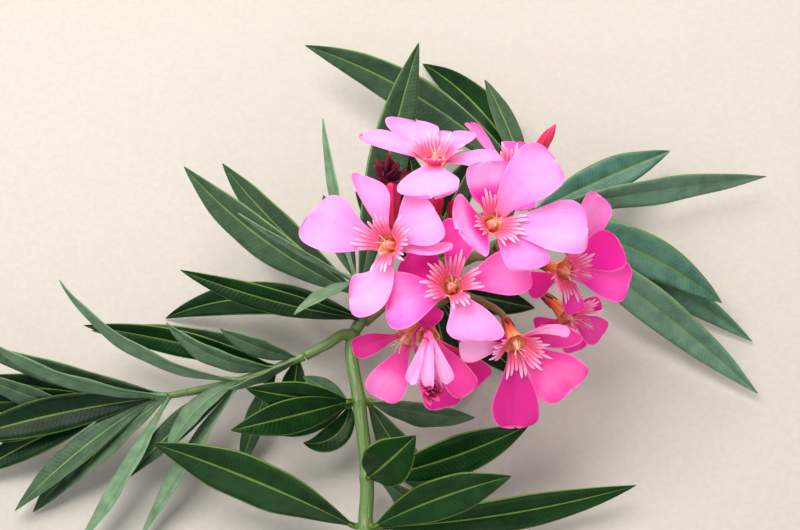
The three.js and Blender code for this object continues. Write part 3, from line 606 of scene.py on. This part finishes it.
leaf_mass("leaves_at_foot", "foot_leaves", whorl(1, FOOT_WHORL, 1), "dark")
leaf_mass("leaves_below_fork", "lower_leaves", whorl(2, LOWER_WHORL, 5), "fresh")
leaf_mass("leaves_mid_stem", "middle_leaves", whorl(3, MIDDLE_WHORL, 9), "fresh")
leaf_mass("leaves_at_fork", "fork_leaves", whorl(4, FORK_WHORL, 13), "fresh")
leaf_mass("leaves_under_blooms", "head_leaves", whorl(6.4, HEAD_WHORL, 100), "old")
leaf_mass("shoot_leaves_inner", "left_leaves_inner", twig_leaves(INNER_POINTS, INNER_WHORLS, 20), "dark")
leaf_mass("shoot_leaves_outer", "left_leaves_outer", twig_leaves(OUTER_POINTS, OUTER_WHORLS, 40), "old")
leaf_mass("leaves_upper_left", "upper_left_leaves", twig_leaves(UPPER_POINTS, UPPER_WHORLS, 60), "dark")
# The right-hand leaves take the kind whose pale face is painted sheen.
leaf_mass("leaves_right", "right_leaves", twig_leaves(RIGHT_POINTS, RIGHT_WHORLS, 80), "painted_pale_sheen")
leaf_mass("leaves_top", "top_leaves", twig_leaves(TOP_POINTS, TOP_WHORLS, 90), "dark")

# Blooms
# Each bloom is one funnel of soft fused petals: a red-orange tube in a dark red calyx,
# five skewed petals set like a propeller's blades, a fringed crown round the throat, and
# a cone of anthers tipped with feathery threads.
PETAL_OUT, PETAL_DOWN = 3.2, -1.0
PETAL_CLAW, PETAL_WIDEST, PETAL_BLUNT = 0.3, 0.74, 3.0
PETAL_RUFFLE, PETAL_FLUTTER, PETAL_CREASE = 0.06, 0.03, 0.28
PETAL_THICK, PETAL_THINS = 0.22, 0.08
CROWN_LENGTH, CROWN_LIFT, CROWN_LEAN, CROWN_FOOT, CROWN_DEEP = 10.0, 57, 30, 3.0, -1.6
SCALE_NARROW, SCALE_OPENS, SCALE_THICK = 2.05, 2.3, 0.16
FINGERS = 5
ROSE_BLOOMS, BARE_BLOOMS = (7, 8, 9), (8, 9)
# Where each bloom's throat lies, the way it faces, and its petals: heading in the picture,
# rise towards the eye, length, reach of the left and the right margin, bend, curl, roll,
# slant of the end, cup, and how deep its pink is at the end and at the foot. That depth is
# partly the petal's own pink and partly painted shade, deepest on feet inside the cup and on
# petals that lie in shade. The eighth has a second set: five narrow petals that curl forward,
# with two deep ones behind them that are painted shade between the strips.
BLOOMS = [
    ((-4.5, 6.7, 5), (-0.42, 0.08, 0.9), [
        (157, -2, 24.5, 8.6, 10.2, -26, -24, 0, 0.1, 0.12, 0, 0.1),
        (111, 6, 20.5, 4.6, 5.6, 4, -16, 40, 0.8, 0.3, 0.02, 0.15),
        (38, 22, 17, 9.3, 10.3, 0, -14, 0, 0, 0.1, 0, 0.05),
        (-2, 20, 19, 3.6, 3.6, 26, 0, -50, 0.2, 0.2, 0, 0),
        (229, 2, 20.5, 7.6, 6.6, -84, -16, 0, 0.1, 0.15, 0, 0),
    ]),
    ((16.6, -6.4, 4), (0, 0.3, 0.95), [
        (193, 6, 19.5, 10, 9, 0, -50, 0, 0.1, 0.15, 0.3, 0.5),
        (147, -22, 15.5, 7, 8, 0, -10, 0, 0, 0.1, 0.85, 0.9),
        (86, 8, 18.5, 6, 6.5, 6, -10, 20, 0.2, 0.25, 0.6, 0.8),
        (10, 6, 22.5, 9, 7, -6, -14, 0, -0.1, 0.12, 0.25, 0.45),
        (297, 17, 17.5, 8.2, 8.2, 0, -20, 0, 0.5, 0.12, 0.05, 0.1),
    ]),
    ((30, 13.7, 10), (0.3, 0.3, 0.9), [
        (93, 14, 17, 8.5, 9, 0, -20, 0, 0, 0.2, 0, 1.5),
        (190, 57, 17, 11, 10.5, 0, 0, 0, 0, 0.3, 0.1, 1.3),
        (43, 14, 26, 9.5, 8, -26, -22, 0, -0.1, 0.12, 0, 0.15),
        (-2, 8, 27, 8.5, 9.2, 0, -20, 0, -0.1, 0.12, 0.05, 0.15),
        (313, 20, 17.5, 6.8, 6.8, 0, -30, 0, 0.5, 0.1, 0.15, 0.3),
    ]),
    ((11.4, 35, -6), (0.03, 0.85, 0.52), [
        (158, -4, 22, 7.5, 5, 10, -10, 0, 0.2, 0.2, 0.05, 0.1),
        (112, -46, 19, 11, 6, 0, -10, 0, 0.4, 0.15, 0.05, 0.1),
        (60, -48, 15, 5.5, 8.5, 0, 0, 0, -0.3, 0.15, 0.05, 0.1),
        (264, 54, 19, 8.5, 11, 0, -20, 0, -0.3, 0.1, 0, 0),
        (0, 0, 19, 6, 7, 0, -10, 0, 0, 0.2, 0.1, 0.2),
    ]),
    ((36.9, 29.9, -21), (0.1, 0.5, 0.85), [
        (126, -8, 20, 5.5, 4.5, 0, 0, 40, 0.2, 0.2, 0.25, 0.3),
        (78, -30, 11, 5, 5, 0, 0, 0, 0, 0.2, 0.4, 0.4),
        (352, 0, 12, 5, 5, 0, 0, 0, 0, 0.1, 0.5, 0.5),
        (290, 40, 12, 5, 5, 0, 0, 0, 0, 0.1, 0.4, 0.4),
        (215, 20, 12, 5, 5, 0, 0, 0, 0, 0.1, 0.4, 0.4),
    ]),
    ((54.5, -2, -9), (0.5, -0.15, 0.85), [
        (63, 0, 24, 6, 6.5, 0, -20, 0, 0.1, 0.15, 0.12, 0.35),
        (24, 20, 18, 8, 8, 0, -10, 0, 0, 0.25, 0.95, 1),
        (-12, 4, 19, 7.2, 6.8, 0, -12, 0, 0, 0.2, 0.55, 0.8),
        (-72, 10, 11.5, 3.6, 3.6, 0, -20, 20, 0, 0.2, 0.7, 0.9),
        (200, -10, 11, 5, 5, 0, 0, 0, 0, 0.1, 0.95, 1),
    ]),
    ((37.5, -26, 3), (0.2, -0.55, 0.8), [
        (183, 7, 15.5, 5.5, 3.5, 0, -20, 0, 0, 0.2, -0.15, 0),
        (18, 10, 14.5, 6.5, 6.5, 0, 10, 0, -0.8, 0.3, 0.6, 0.85),
        (321, -8, 21.5, 9.8, 9.6, 0, -20, 0, 0, 0.15, 0.28, 0.55),
        (272, -8, 25, 7.5, 8.5, 0, -16, 0, 0.1, 0.15, 0.95, 1.1),
        (150, 0, 8, 4, 4, 0, 0, 0, 0, 0.1, 0.8, 0.9),
        (8, 30, 17.5, 2.4, 2.4, -60, 0, 0, 0, 0.3, -0.15, 0),
    ]),
    ((9, -24, -1), (-0.05, -0.6, 0.8), [
        (305, 13, 20, 6.5, 5.5, 0, 0, 0, 0, 0.35, 0.55, 0.9),
        (321, -6, 20.5, 6, 7, -10, 0, 0, 0, 0.3, 0.85, 0.9),
        (284, -8, 21.5, 6, 7, 0, 0, 0, 0, 0.3, 0.9, 0.9),
        (90, 30, 9, 5, 5, 0, 0, 0, 0, 0.3, 0.8, 0.9),
        (253, 34, 25, 2.6, 2.6, -40, -110, 25, 0, 0.5, -0.2, 0.3),
        (262, 36, 26, 2.7, 2.7, -20, -112, -30, 0, 0.5, -0.1, 0.4),
        (271, 38, 27, 2.7, 2.7, 0, -112, 30, 0, 0.5, -0.2, 0.3),
        (279, 36, 26, 2.7, 2.7, 22, -112, 35, 0, 0.5, -0.1, 0.4),
        (288, 34, 25, 2.6, 2.6, 40, -110, -25, 0, 0.5, -0.2, 0.3),
        # These two deep strips behind the others are painted shade: they fill the dark between the narrow
        # petals.
        (266, 29, 23, 3.2, 3.2, -14, -100, 10, 0, 0.3, 1.1, 1.2),
        (277, 29, 23, 3.2, 3.2, 16, -100, -10, 0, 0.3, 1.1, 1.2),
    ]),
    ((1.2, -25, -16.6), (-0.6, -0.6, 0.5), [
        (196, 6, 16, 4.4, 4.4, 0, 0, 20, 0, 0.3, 0.7, 0.85),
        (245, 6, 20, 7.6, 7.6, 0, -10, 0, 0, 0.3, 0.22, 0.7),
        (88, 20, 10, 5, 5, 0, 0, 0, 0, 0.4, 0.9, 0.9),
        (310, 30, 10, 5, 5, 0, 0, 0, 0, 0.3, 0.9, 0.9),
        (20, 30, 9, 4, 4, 0, 0, 0, 0, 0.1, 0.8, 0.9),
    ]),
    ((57, -17.5, -25), (0.55, -0.5, 0.67), [
        (25, 10, 9, 4.5, 4.5, 0, 0, 0, 0, 0.3, 0.9, 0.9),
        (330, 0, 11.5, 5, 5.5, 0, -10, 0, 0, 0.2, 0.55, 0.8),
        (285, 0, 10, 5, 5, 0, 0, 0, 0, 0.2, 0.7, 0.9),
        (100, -10, 9, 4.5, 4.5, 0, 0, 0, 0, 0.2, 0.9, 0.9),
        (190, -10, 9, 4.5, 4.5, 0, 0, 0, 0, 0.2, 0.9, 0.9),
    ]),
]


def facing(at, axis):
    """Place of a flower: its own z is the axis, its x as near the layout's x as it can be."""
    z = unit(np.asarray(axis, float))
    x = unit(np.array([1.0, 0, 0]) - z * z[0])
    turn = np.stack([x, np.cross(z, x), z], 1)
    return lambda points: np.asarray(points, float) @ turn.T + np.asarray(at, float)


def smooth_step(x, low, high):
    """Smooth rise from 0 at low to 1 at high."""
    w = np.clip((x - low) / (high - low), 0, 1)
    return w * w * (3 - 2 * w)


def petal(at, axis, row, number):
    """Petal on the throat's rim. Its side is square to the flower's axis, then rolled. Each
    margin opens from the claw to its widest at 0.74 of the length and the end is blunt:
    width falls there as the cube root's arc. The blade is cupped and ruffled to the rim."""
    heading, rise, length, left, right, bend, curl, roll, slant, cup, tone, foot_tone = row
    s = 0.9999 * (1 - (1 - np.linspace(0, 1, 34)) ** 1.9)
    t = np.sin(np.linspace(-1, 1, 23) * math.pi / 2)[None, :]
    along = towards(heading + bend * (s - 0.5), rise + curl * (s - 0.5))
    side = unit(np.cross(axis, along))
    up = np.cross(along, side)
    out = unit(along[0] - axis * (along[0] @ axis))
    centre = travelled(at + out * PETAL_OUT + axis * PETAL_DOWN, along, s, length)
    turn = (roll * RAD * smooth_step(s, 0, 0.35))[:, None]
    side, up = tilted(side, up, turn)
    past = np.clip((s - PETAL_WIDEST) / (1 - PETAL_WIDEST), 0, 1)
    blunt = (1 - past**PETAL_BLUNT) ** (1 / PETAL_BLUNT)
    shape = (PETAL_CLAW + (1 - PETAL_CLAW) * smooth_step(s, 0, PETAL_WIDEST)) * blunt
    q = s[:, None]
    width = left + right
    reach = shape[:, None] * (t * width / 2 + t**2 * (left - right) / 2)
    reach = reach * (1 + 0.03 * q * np.sin(11 * q + 2.6 * number + 1.3 * np.sign(t)))
    forward = slant * reach * q**2
    beat = 5.5 * q + 2.2 * np.sign(t) + 1.9 * number
    ruffle = PETAL_RUFFLE * width * np.abs(t) ** 2.5 * q**2 * np.sin(beat)
    ruffle = ruffle + PETAL_FLUTTER * width * q**2 * np.sin(4.2 * t * q + 2.3 * number)
    crease = -PETAL_CREASE * np.exp(-((t / 0.16) ** 2)) * q * (1 - q) * 3
    high = cup * width / 2 * shape[:, None] * t**2 + ruffle + crease
    thick = (PETAL_THICK - PETAL_THINS * q) * (1 - t**6) * np.minimum(1, blunt[:, None] * 1.6)
    rings = blade_rings(centre, side, up, reach, high, (thick, thick))
    rings = rings + along[:, None] * there_and_back(forward)[..., None]
    uv = blade_uv(0.5 + t / 2, q)
    # The tone runs from the end's value to the foot's. High values are partly painted shade: on feet deep
    # in the cup and on petals out of the light.
    shades = np.broadcast_to(tone + (foot_tone - tone) * (1 - smooth_step(q, 0.15, 0.7)), rings.shape[:2])
    return skin(rings, uv, shades, 0, True), out


def ribbon(start, heading, lift, curl, length, width, taper, twist, tone, bend=0.0, steps=12):
    """Narrow tapering strip: half width falls from the foot by a power of the way left."""
    s = np.linspace(0, 0.985, steps)
    t = np.array([[-1, -0.5, 0, 0.5, 1.0]])
    centre, side, up = spine(start, heading + bend * s, lift + curl * s, twist * s, s, length)
    half = width / 2 * (1 - s[:, None] ** taper) * (0.75 + 0.9 * s[:, None] * (1 - s[:, None]))
    high = 0.35 * half * t**2
    thick = 0.16 * (1 - t**4) + 0 * half
    rings = blade_rings(centre, side, up, half * t, high, (thick, thick))
    return skin(rings, blade_uv(0.5 + t / 2, s[:, None]), tone, 0, True)


def revolved(profile, sides, tone=0.0, lobes=0, depth=0.0, spiral=0.0, slot=0):
    """Body of revolution about z from radius and height, its radius swelling in spiral lobes."""
    r, z = np.array(profile, float).T
    turn = once_round(sides)
    swell = 1 + depth * np.cos(lobes * turn + spiral * z[:, None])
    reach = r[:, None] * swell
    rings = np.stack(np.broadcast_arrays(reach * np.cos(turn), reach * np.sin(turn), z[:, None]), -1)
    share = (z - z.min()) / (z.max() - z.min())
    uv = np.stack(np.broadcast_arrays(turn / (2 * math.pi), share[:, None]), -1)
    return skin(rings, uv, tone, slot)


def finer(profile, steps):
    """Profile drawn as a smooth curve through its points."""
    points = np.c_[np.array(profile, float), np.zeros(len(profile))]
    return smooth_line(points, np.linspace(0, 1, steps))[:, :2]


# The tube's radius and height: up its outside, over the lip, and down inside the throat.
# The anther cone has its own.
TUBE_OUTSIDE = [(0.3, -15.1), (1.5, -14.6), (1.6, -11), (1.75, -8.6), (2.5, -5), (3.5, -1.9)]
TUBE_INSIDE = [(3.9, -0.9), (3.6, -1.0), (3.0, -2.4), (2.3, -4.2), (1.6, -5.2), (0.2, -5.4)]
CONE = [(0.2, -6), (1.5, -5), (1.5, -2.4), (1.0, 0), (0.2, 1.9)]
TUBE_BANDS, LIP_BAND = 55, 30
TUBE = finer(TUBE_OUTSIDE + TUBE_INSIDE, TUBE_BANDS + 1)


def petal_skin(name, pale, middle, deep, throat):
    """Soft petal: thin and matt with a faint down, so that light shines through. Fine
    streaks fan from the throat, the margins are deeper and the very rim is paler, and the
    tone of each petal goes from pale to deep pink: partly the petal's own pink, partly
    painted shade where the petal lies out of the light."""
    made, tree = bare_material(name)
    place = add(tree, "TexCoord").outputs
    split = add(tree, "SeparateXYZ", Vector=place["UV"]).outputs
    tone = add(tree, "Attribute", {"attribute_name": "tone"}).outputs["Fac"]
    fan = add(tree, "Mapping", Vector=place["UV"], Scale=(26.0, 1.6, 1.0))
    streak = add(tree, "TexNoise", Vector=fan, Scale=1.0, Detail=3.0, Roughness=0.55)
    cloud = add(tree, "TexNoise", Vector=place["Object"], Scale=95.0, Detail=2.0)
    depth = add(tree, "Math", TIMES_PLUS, i0=cloud, i1=0.3, i2=tone)
    depth = add(tree, "Math", TIMES_PLUS, i0=streak, i1=0.16, i2=depth)
    off = add(tree, "Math", {"operation": "SUBTRACT"}, i0=split["X"], i1=0.5)
    off = add(tree, "Math", {"operation": "ABSOLUTE"}, i0=off)
    aside = add(tree, "MapRange", Value=off, From_Min=0.2, From_Max=0.5, To_Max=0.12)
    depth = add(tree, "Math", {"operation": "ADD"}, i0=depth, i1=aside)
    outer = add(tree, "MapRange", Value=split["Y"], From_Min=0.7, From_Max=1.0, To_Max=0.1)
    depth = add(tree, "Math", {"operation": "ADD"}, i0=depth, i1=outer)
    # The deep end of this scale is partly the petal's own pink and partly painted shade.
    half = add(tree, "MapRange", Value=depth, From_Min=0.15, From_Max=0.66)
    full = add(tree, "MapRange", Value=depth, From_Min=0.6, From_Max=1.15)
    shade = add(tree, "Mix", BLEND, i0=half, i6=linear(pale), i7=linear(middle))
    shade = add(tree, "Mix", BLEND, i0=full, i6=shade, i7=linear(deep))
    foot = add(tree, "MapRange", Value=split["Y"], From_Min=0.34, From_Max=0.02)
    foot = add(tree, "Math", {"operation": "POWER"}, i0=foot, i1=1.6)
    shade = add(tree, "Mix", BLEND, i0=foot, i6=shade, i7=linear(throat))
    edge = add(tree, "MapRange", Value=off, From_Min=0.455, From_Max=0.5)
    far = add(tree, "MapRange", Value=split["Y"], From_Min=0.965, From_Max=1.0)
    rim = add(tree, "Math", {"operation": "MAXIMUM"}, i0=edge, i1=far)
    rim = add(tree, "Math", TIMES, i0=rim, i1=0.45)
    shade = add(tree, "Mix", BLEND, i0=rim, i6=shade, i7=linear(pale))
    bump = add(tree, "Bump", Strength=0.25, Distance=0.0004, Height=streak)
    finish = {"Roughness": 0.55, "Sheen_Weight": 0.25, "Sheen_Roughness": 0.5}
    body = add(tree, "BsdfPrincipled", Base_Color=shade, Normal=bump, **finish)
    shine = add(tree, "BsdfTranslucent", Color=shade)
    both = add(tree, "MixShader", i0=0.42, i1=body, i2=shine)
    add(tree, "OutputMaterial", Surface=both)
    return made


def striped_skin(name, foot, middle, tip, line, lines, through):
    """Soft strip or tube that goes through three colours from foot to tip, with darker
    lines along it. Thin, so some light shines through."""
    made, tree = bare_material(name)
    place = add(tree, "TexCoord").outputs
    split = add(tree, "SeparateXYZ", Vector=place["UV"]).outputs
    tone = add(tree, "Attribute", {"attribute_name": "tone"}).outputs["Fac"]
    grain = add(tree, "TexNoise", Vector=place["Object"], Scale=600.0, Detail=2.0)
    climb = add(tree, "Math", {"operation": "ADD"}, i0=split["Y"], i1=tone)
    low = add(tree, "MapRange", Value=climb, From_Min=0.0, From_Max=0.5)
    high = add(tree, "MapRange", Value=climb, From_Min=0.5, From_Max=1.0)
    shade = add(tree, "Mix", BLEND, i0=low, i6=linear(foot), i7=linear(middle))
    shade = add(tree, "Mix", BLEND, i0=high, i6=shade, i7=linear(tip))
    beat = add(tree, "Math", TIMES, i0=split["X"], i1=2 * math.pi * lines)
    wave = add(tree, "Math", {"operation": "COSINE"}, i0=beat)
    stripe = add(tree, "MapRange", Value=wave, From_Min=0.55, From_Max=1.0, To_Max=1.3)
    stripe = add(tree, "Math", TIMES, i0=stripe, i1=grain)
    shade = add(tree, "Mix", BLEND, i0=stripe, i6=shade, i7=linear(line))
    bump = add(tree, "Bump", Strength=0.2, Distance=0.0002, Height=grain)
    body = add(tree, "BsdfPrincipled", Base_Color=shade, Roughness=0.5, Normal=bump)
    shine = add(tree, "BsdfTranslucent", Color=shade)
    both = add(tree, "MixShader", i0=through, i1=body, i2=shine)
    add(tree, "OutputMaterial", Surface=both)
    return made


petal_pink = petal_skin("soft_pink_petal", "#ffc0f4", "#ff66d0", "#f400b4", "#ff84c8")
petal_rose = petal_skin("rose_pink_petal", "#ffc0f0", "#ff4cbc", "#e4009c", "#ff64ac")
corona_skin = striped_skin("fringed_crown", "#ff6c4c", "#ff74ac", "#ffc8ee", "#c4004c", 5, 0.3)
throat_skin = striped_skin("peach_throat", "#ffc084", "#ffd6a8", "#ffe6c8", "#ff9450", 5, 0.5)
tube_skin = striped_skin("flower_tube", "#a02a22", "#e25a34", "#ffb070", "#c8301e", 10, 0.2)
calyx_skin = striped_skin("dark_red_calyx", "#4c0f1a", "#74162a", "#8e1a2c", "#2c0910", 2, 0.05)
anther_skin = striped_skin("peach_anthers", "#ff9460", "#ffb890", "#ffe8dc", "#e86c48", 5, 0.4)


def moved(body, place):
    """A body set in its flower's place."""
    return (place(body[0]),) + body[1:]


def crown(azimuths):
    """Five scales, one before each petal, that rise from the rim of the throat and lean
    out. Each is cut into five narrow fingers: a cosine across it, with ends of unlike length."""
    scales = []
    s = np.linspace(0, 1, 16)
    t = np.linspace(-1, 1, 41)[None, :]
    for n, azimuth in enumerate(azimuths):
        start = towards(azimuth, 0) * CROWN_FOOT + (0, 0, CROWN_DEEP)
        lift = CROWN_LIFT + 5 * math.sin(2.1 * n)
        finger = np.abs(np.cos(FINGERS / 2 * math.pi * t)) ** 0.7
        reach = 0.46 + (0.38 + 0.16 * np.sin(5 * t + 1.7 * n)) * finger
        part = s[:, None] * reach
        length = CROWN_LENGTH * (1 + 0.08 * math.sin(3.3 * n))
        along = towards(azimuth + 0 * s, lift - CROWN_LEAN * s)
        centre = travelled(start, along, s, length)
        across = towards(azimuth + 90, 0)
        bulge = 0.22 * np.cos(FINGERS * math.pi * t) * part
        half = SCALE_NARROW + SCALE_OPENS * part
        path = np.stack([np.interp(part, s, centre[:, i]) for i in range(3)], -1)
        facing_up = np.cross(across, towards(azimuth, lift - CROWN_LEAN * 0.5))
        middle = path + across * (half * t)[..., None] - facing_up * (0.1 * half * t**2 - bulge)[..., None]
        thick = (SCALE_THICK * (1 - 0.5 * part) * (1 - t**12))[..., None]
        rings = np.concatenate([middle - facing_up * thick, (middle + facing_up * thick)[:, -2:0:-1]], 1)
        scales.append(skin(rings, blade_uv(0.5 + t / 2, part), 0.12, 0, True))
    return scales


def anther_cone():
    """Five anthers that lean together in a cone, with a tuft of twisted threads."""
    bodies = [revolved(finer(CONE, 24), 40, 0.1, 5, 0.2, 0.5)]
    for k in range(5):
        start = (0.3 * math.cos(1.26 * k), 0.3 * math.sin(1.26 * k), 0.6)
        lift = 72 - 16 * (k % 2)
        bodies.append(ribbon(start, 72 * k + 10, lift, -14, 4.4, 0.42, 1.5, 200, 0.5, 60))
    return bodies


def sepals(reach=6.5, foot=-15.4):
    """Five pointed sepals pressed to the foot of the tube."""
    headings = [72 * k + 20 for k in range(5)]
    return [ribbon(towards(h, 0) + (0, 0, foot), h, 74, 14, reach, 3.0, 1.6, 0, 0.1) for h in headings]


for n, (at, axis, rows) in enumerate(BLOOMS, 1):
    place = facing(at, axis)
    throat, way = np.array(at, float), unit(np.array(axis, float))
    made = [petal(throat, way, row, n + 0.37 * k) for k, row in enumerate(rows)]
    petals = [body for body, out in made]
    inside = (np.arange(TUBE_BANDS) > LIP_BAND).astype(int)[:, None]
    tube = revolved(TUBE, 40, 0.0, 5, 0.03, slot=inside)
    basis = place(np.eye(3)) - place(np.zeros(3))
    azimuths = [math.atan2(out @ basis[1], out @ basis[0]) / RAD for body, out in made[:5]]
    pink = petal_rose if n in ROSE_BLOOMS else petal_pink
    piece(f"petals_{n}", petals, [pink], "petals", f"bloom_{n}")
    if n not in BARE_BLOOMS:
        piece(f"crown_{n}", [moved(tooth, place) for tooth in crown(azimuths)], [corona_skin], "petals")
    piece(f"tube_{n}", [moved(tube, place)], [tube_skin, throat_skin], "petals")
    piece(f"calyx_{n}", [moved(sepal, place) for sepal in sepals()], [calyx_skin], "buds")
    piece(f"anthers_{n}", [moved(body, place) for body in anther_cone()], [anther_skin], "petals")

# The eighth bloom's narrow petals end in a crumpled crimson ruffle.
RUFFLE_AT, RUFFLE_FOLDS = (9.8, -39.6, 11.5), 14
ruffle_skin = striped_skin("crimson_ruffle", "#9c0c44", "#c81464", "#f04c9c", "#70062c", 2, 0.2)
ruffle_folds = []
for k in range(RUFFLE_FOLDS):
    lift, curl = 14 + 26 * (k % 3), 30 - 20 * (k % 2)
    length, twist = 4.8 + 0.5 * (k % 4), 70 - 45 * (k % 4)
    fold = ribbon(RUFFLE_AT, 40 * k, lift, curl, length, 4.2, 3.0, twist, 0.1 * (k % 4), 60)
    ruffle_folds.append(fold)
piece("crimson_ruffle_8", ruffle_folds, [ruffle_skin], "petals")

# Buds and the faded bloom
# Buds are petals still rolled to the right round a point, deep red, each in its calyx.
# The faded bloom has shrunk to a maroon knot of crumpled strips on its red tube.
# Each bud's tip, the way it points, its length and its width.
BUDS = [
    ((52.5, 47.5, -26), (0.5, 0.8, 0.2), 15, 4.4),
    ((12.2, 24.6, -3), (0.05, 0.9, 0.4), 9, 4.6),
    ((18.6, 21.5, -4), (0.2, 0.6, 0.75), 8, 4.4),
]
WITHERED = ((-3, 27.5, -15), (-0.05, 0.92, 0.38))
bud_skin = striped_skin("rolled_red_bud", "#a00c34", "#c81040", "#e8246c", "#8c0a2c", 5, 0.1)
withered_skin = striped_skin("withered_maroon_petal", "#4c0c1e", "#6c1430", "#8e1c3e", "#2c060c", 1, 0.1)
for n, (at, axis, length, width) in enumerate(BUDS, 1):
    place = facing(at, axis)
    lower = [(0.1, -length), (0.34 * width, -0.97 * length), (0.48 * width, -0.62 * length)]
    upper = [(0.4 * width, -0.3 * length), (0.02 * width, 0)]
    rolled = revolved(finer(lower + upper, 48), 60, 0.0, 5, 0.1, 0.35)
    piece(f"rolled_bud_{n}", [moved(rolled, place)], [bud_skin], "buds", f"bud_{n}")
    leaves = [moved(sepal, place) for sepal in sepals(0.42 * length, -length - 0.3)]
    piece(f"bud_calyx_{n}", leaves, [calyx_skin], "buds")

FADED = [(0.2, -16), (1.7, -15.6), (2.1, -10), (3.0, -4), (2.8, 0), (0.3, 1.2)]
KNOT_STRIPS = 16
faded_place = facing(*WITHERED)
faded_tube = revolved(finer(FADED, 40), 40, 0.3, 5, 0.08)
knot = []
for k in range(KNOT_STRIPS):
    turn, lift, curl = 137.5 * k, 10 + 23 * (k % 4), 40 - 25 * (k % 3)
    length, twist = 6.5 + 1.1 * (k % 4), 140 - 60 * (k % 5)
    start = towards(turn, lift) * 0.6
    strip = ribbon(start, turn, lift, curl, length, 4.6, 3.0, twist, 0.1 * (k % 3), 50)
    knot.append(moved(strip, faded_place))
piece("withered_petals", knot, [withered_skin], "buds", "withered_bloom")
piece("withered_tube", [moved(faded_tube, faded_place)], [bud_skin], "buds")
piece("withered_calyx", [moved(body, faded_place) for body in sepals(6.5, -16.4)], [calyx_skin], "buds")

# Flower stalk
# A short green stalk, flushed with red, leaves the stem at the fork, parts at its heart
# into four, and gives each bloom and bud its own thin stalk, with small bracts at the forks.
HUBS = {
    "foot": (-9.3, -16.8, -35.95),
    "heart": (13, 2, -33),
    "left": (4, 5, -26),
    "top": (17, 12, -27),
    "right": (32, 3, -27),
    "low": (19, -9, -23),
}
HUBS = {name: np.array(point, float) for name, point in HUBS.items()}
TUBE_LENGTH, FADED_LENGTH, CLEAR = 15, 16, 0.3
TIP_SWELLING, SWELLING_SHARE = 0.25, 0.08


def served(hub, blooms, buds=()):
    """What a hub carries: its blooms, then its buds, each with the length behind its tip."""
    open_ones = [(hub, BLOOMS[number - 1], TUBE_LENGTH) for number in blooms]
    return open_ones + [(hub, BUDS[number - 1], BUDS[number - 1][2]) for number in buds]


SERVED = served("left", [1]) + [("left", WITHERED, FADED_LENGTH)]
SERVED += served("top", [4, 5], [2, 3]) + served("right", [3, 6, 10], [1]) + served("low", [2, 7, 8, 9])


def bezier(a, b, c, d, steps=24):
    """Cubic curve from a to d that leaves towards b and arrives from c."""
    t = np.linspace(0, 1, steps)[:, None]
    return a * (1 - t) ** 3 + 3 * b * t * (1 - t) ** 2 + 3 * c * t**2 * (1 - t) + d * t**3


def stalk(line, foot, tip, age):
    """Round stalk along a line, swollen a little at its tip."""
    t = np.linspace(0, 1, len(line))
    radius = foot + (tip - foot) * t + TIP_SWELLING * np.exp(-(((1 - t) / SWELLING_SHARE) ** 2))
    return skin(tube_rings(line, radius, 20), tube_uv(line, 20), age)


stalks = []
bracts = []
forks = [(HUBS["foot"] + (-3, -3, -2), HUBS["heart"], 1.8)]
forks += [(HUBS["heart"], HUBS[name], 1.4) for name in ("left", "top", "right", "low")]
for a, b, foot in forks:
    stalks.append(stalk(bezier(a, a + (b - a) / 3, b - (b - a) / 3, b), foot, 1.4, 0.2))
for n, (name, flower, length) in enumerate(SERVED):
    at, axis = np.array(flower[0], float), unit(np.array(flower[1], float))
    end = at - axis * (length + CLEAR)
    hub = HUBS[name]
    before = end - axis * min(6, np.linalg.norm(end - hub) / 3)
    stalks.append(stalk(bezier(hub, (hub + before) / 2, before, end + axis * 0.8), 1.35, 1.1, 0.45))
    for k in range(2):
        bracts.append(ribbon(hub, 57 * n + 170 * k, 35 + 20 * k, 10, 6.0, 2.2, 1.6, 20, 0.2))
piece("flower_stalks", stalks, [stalk_skin], "flower_stalk", "flower_stalk")
piece("stalk_bracts", bracts, [calyx_skin], "buds")
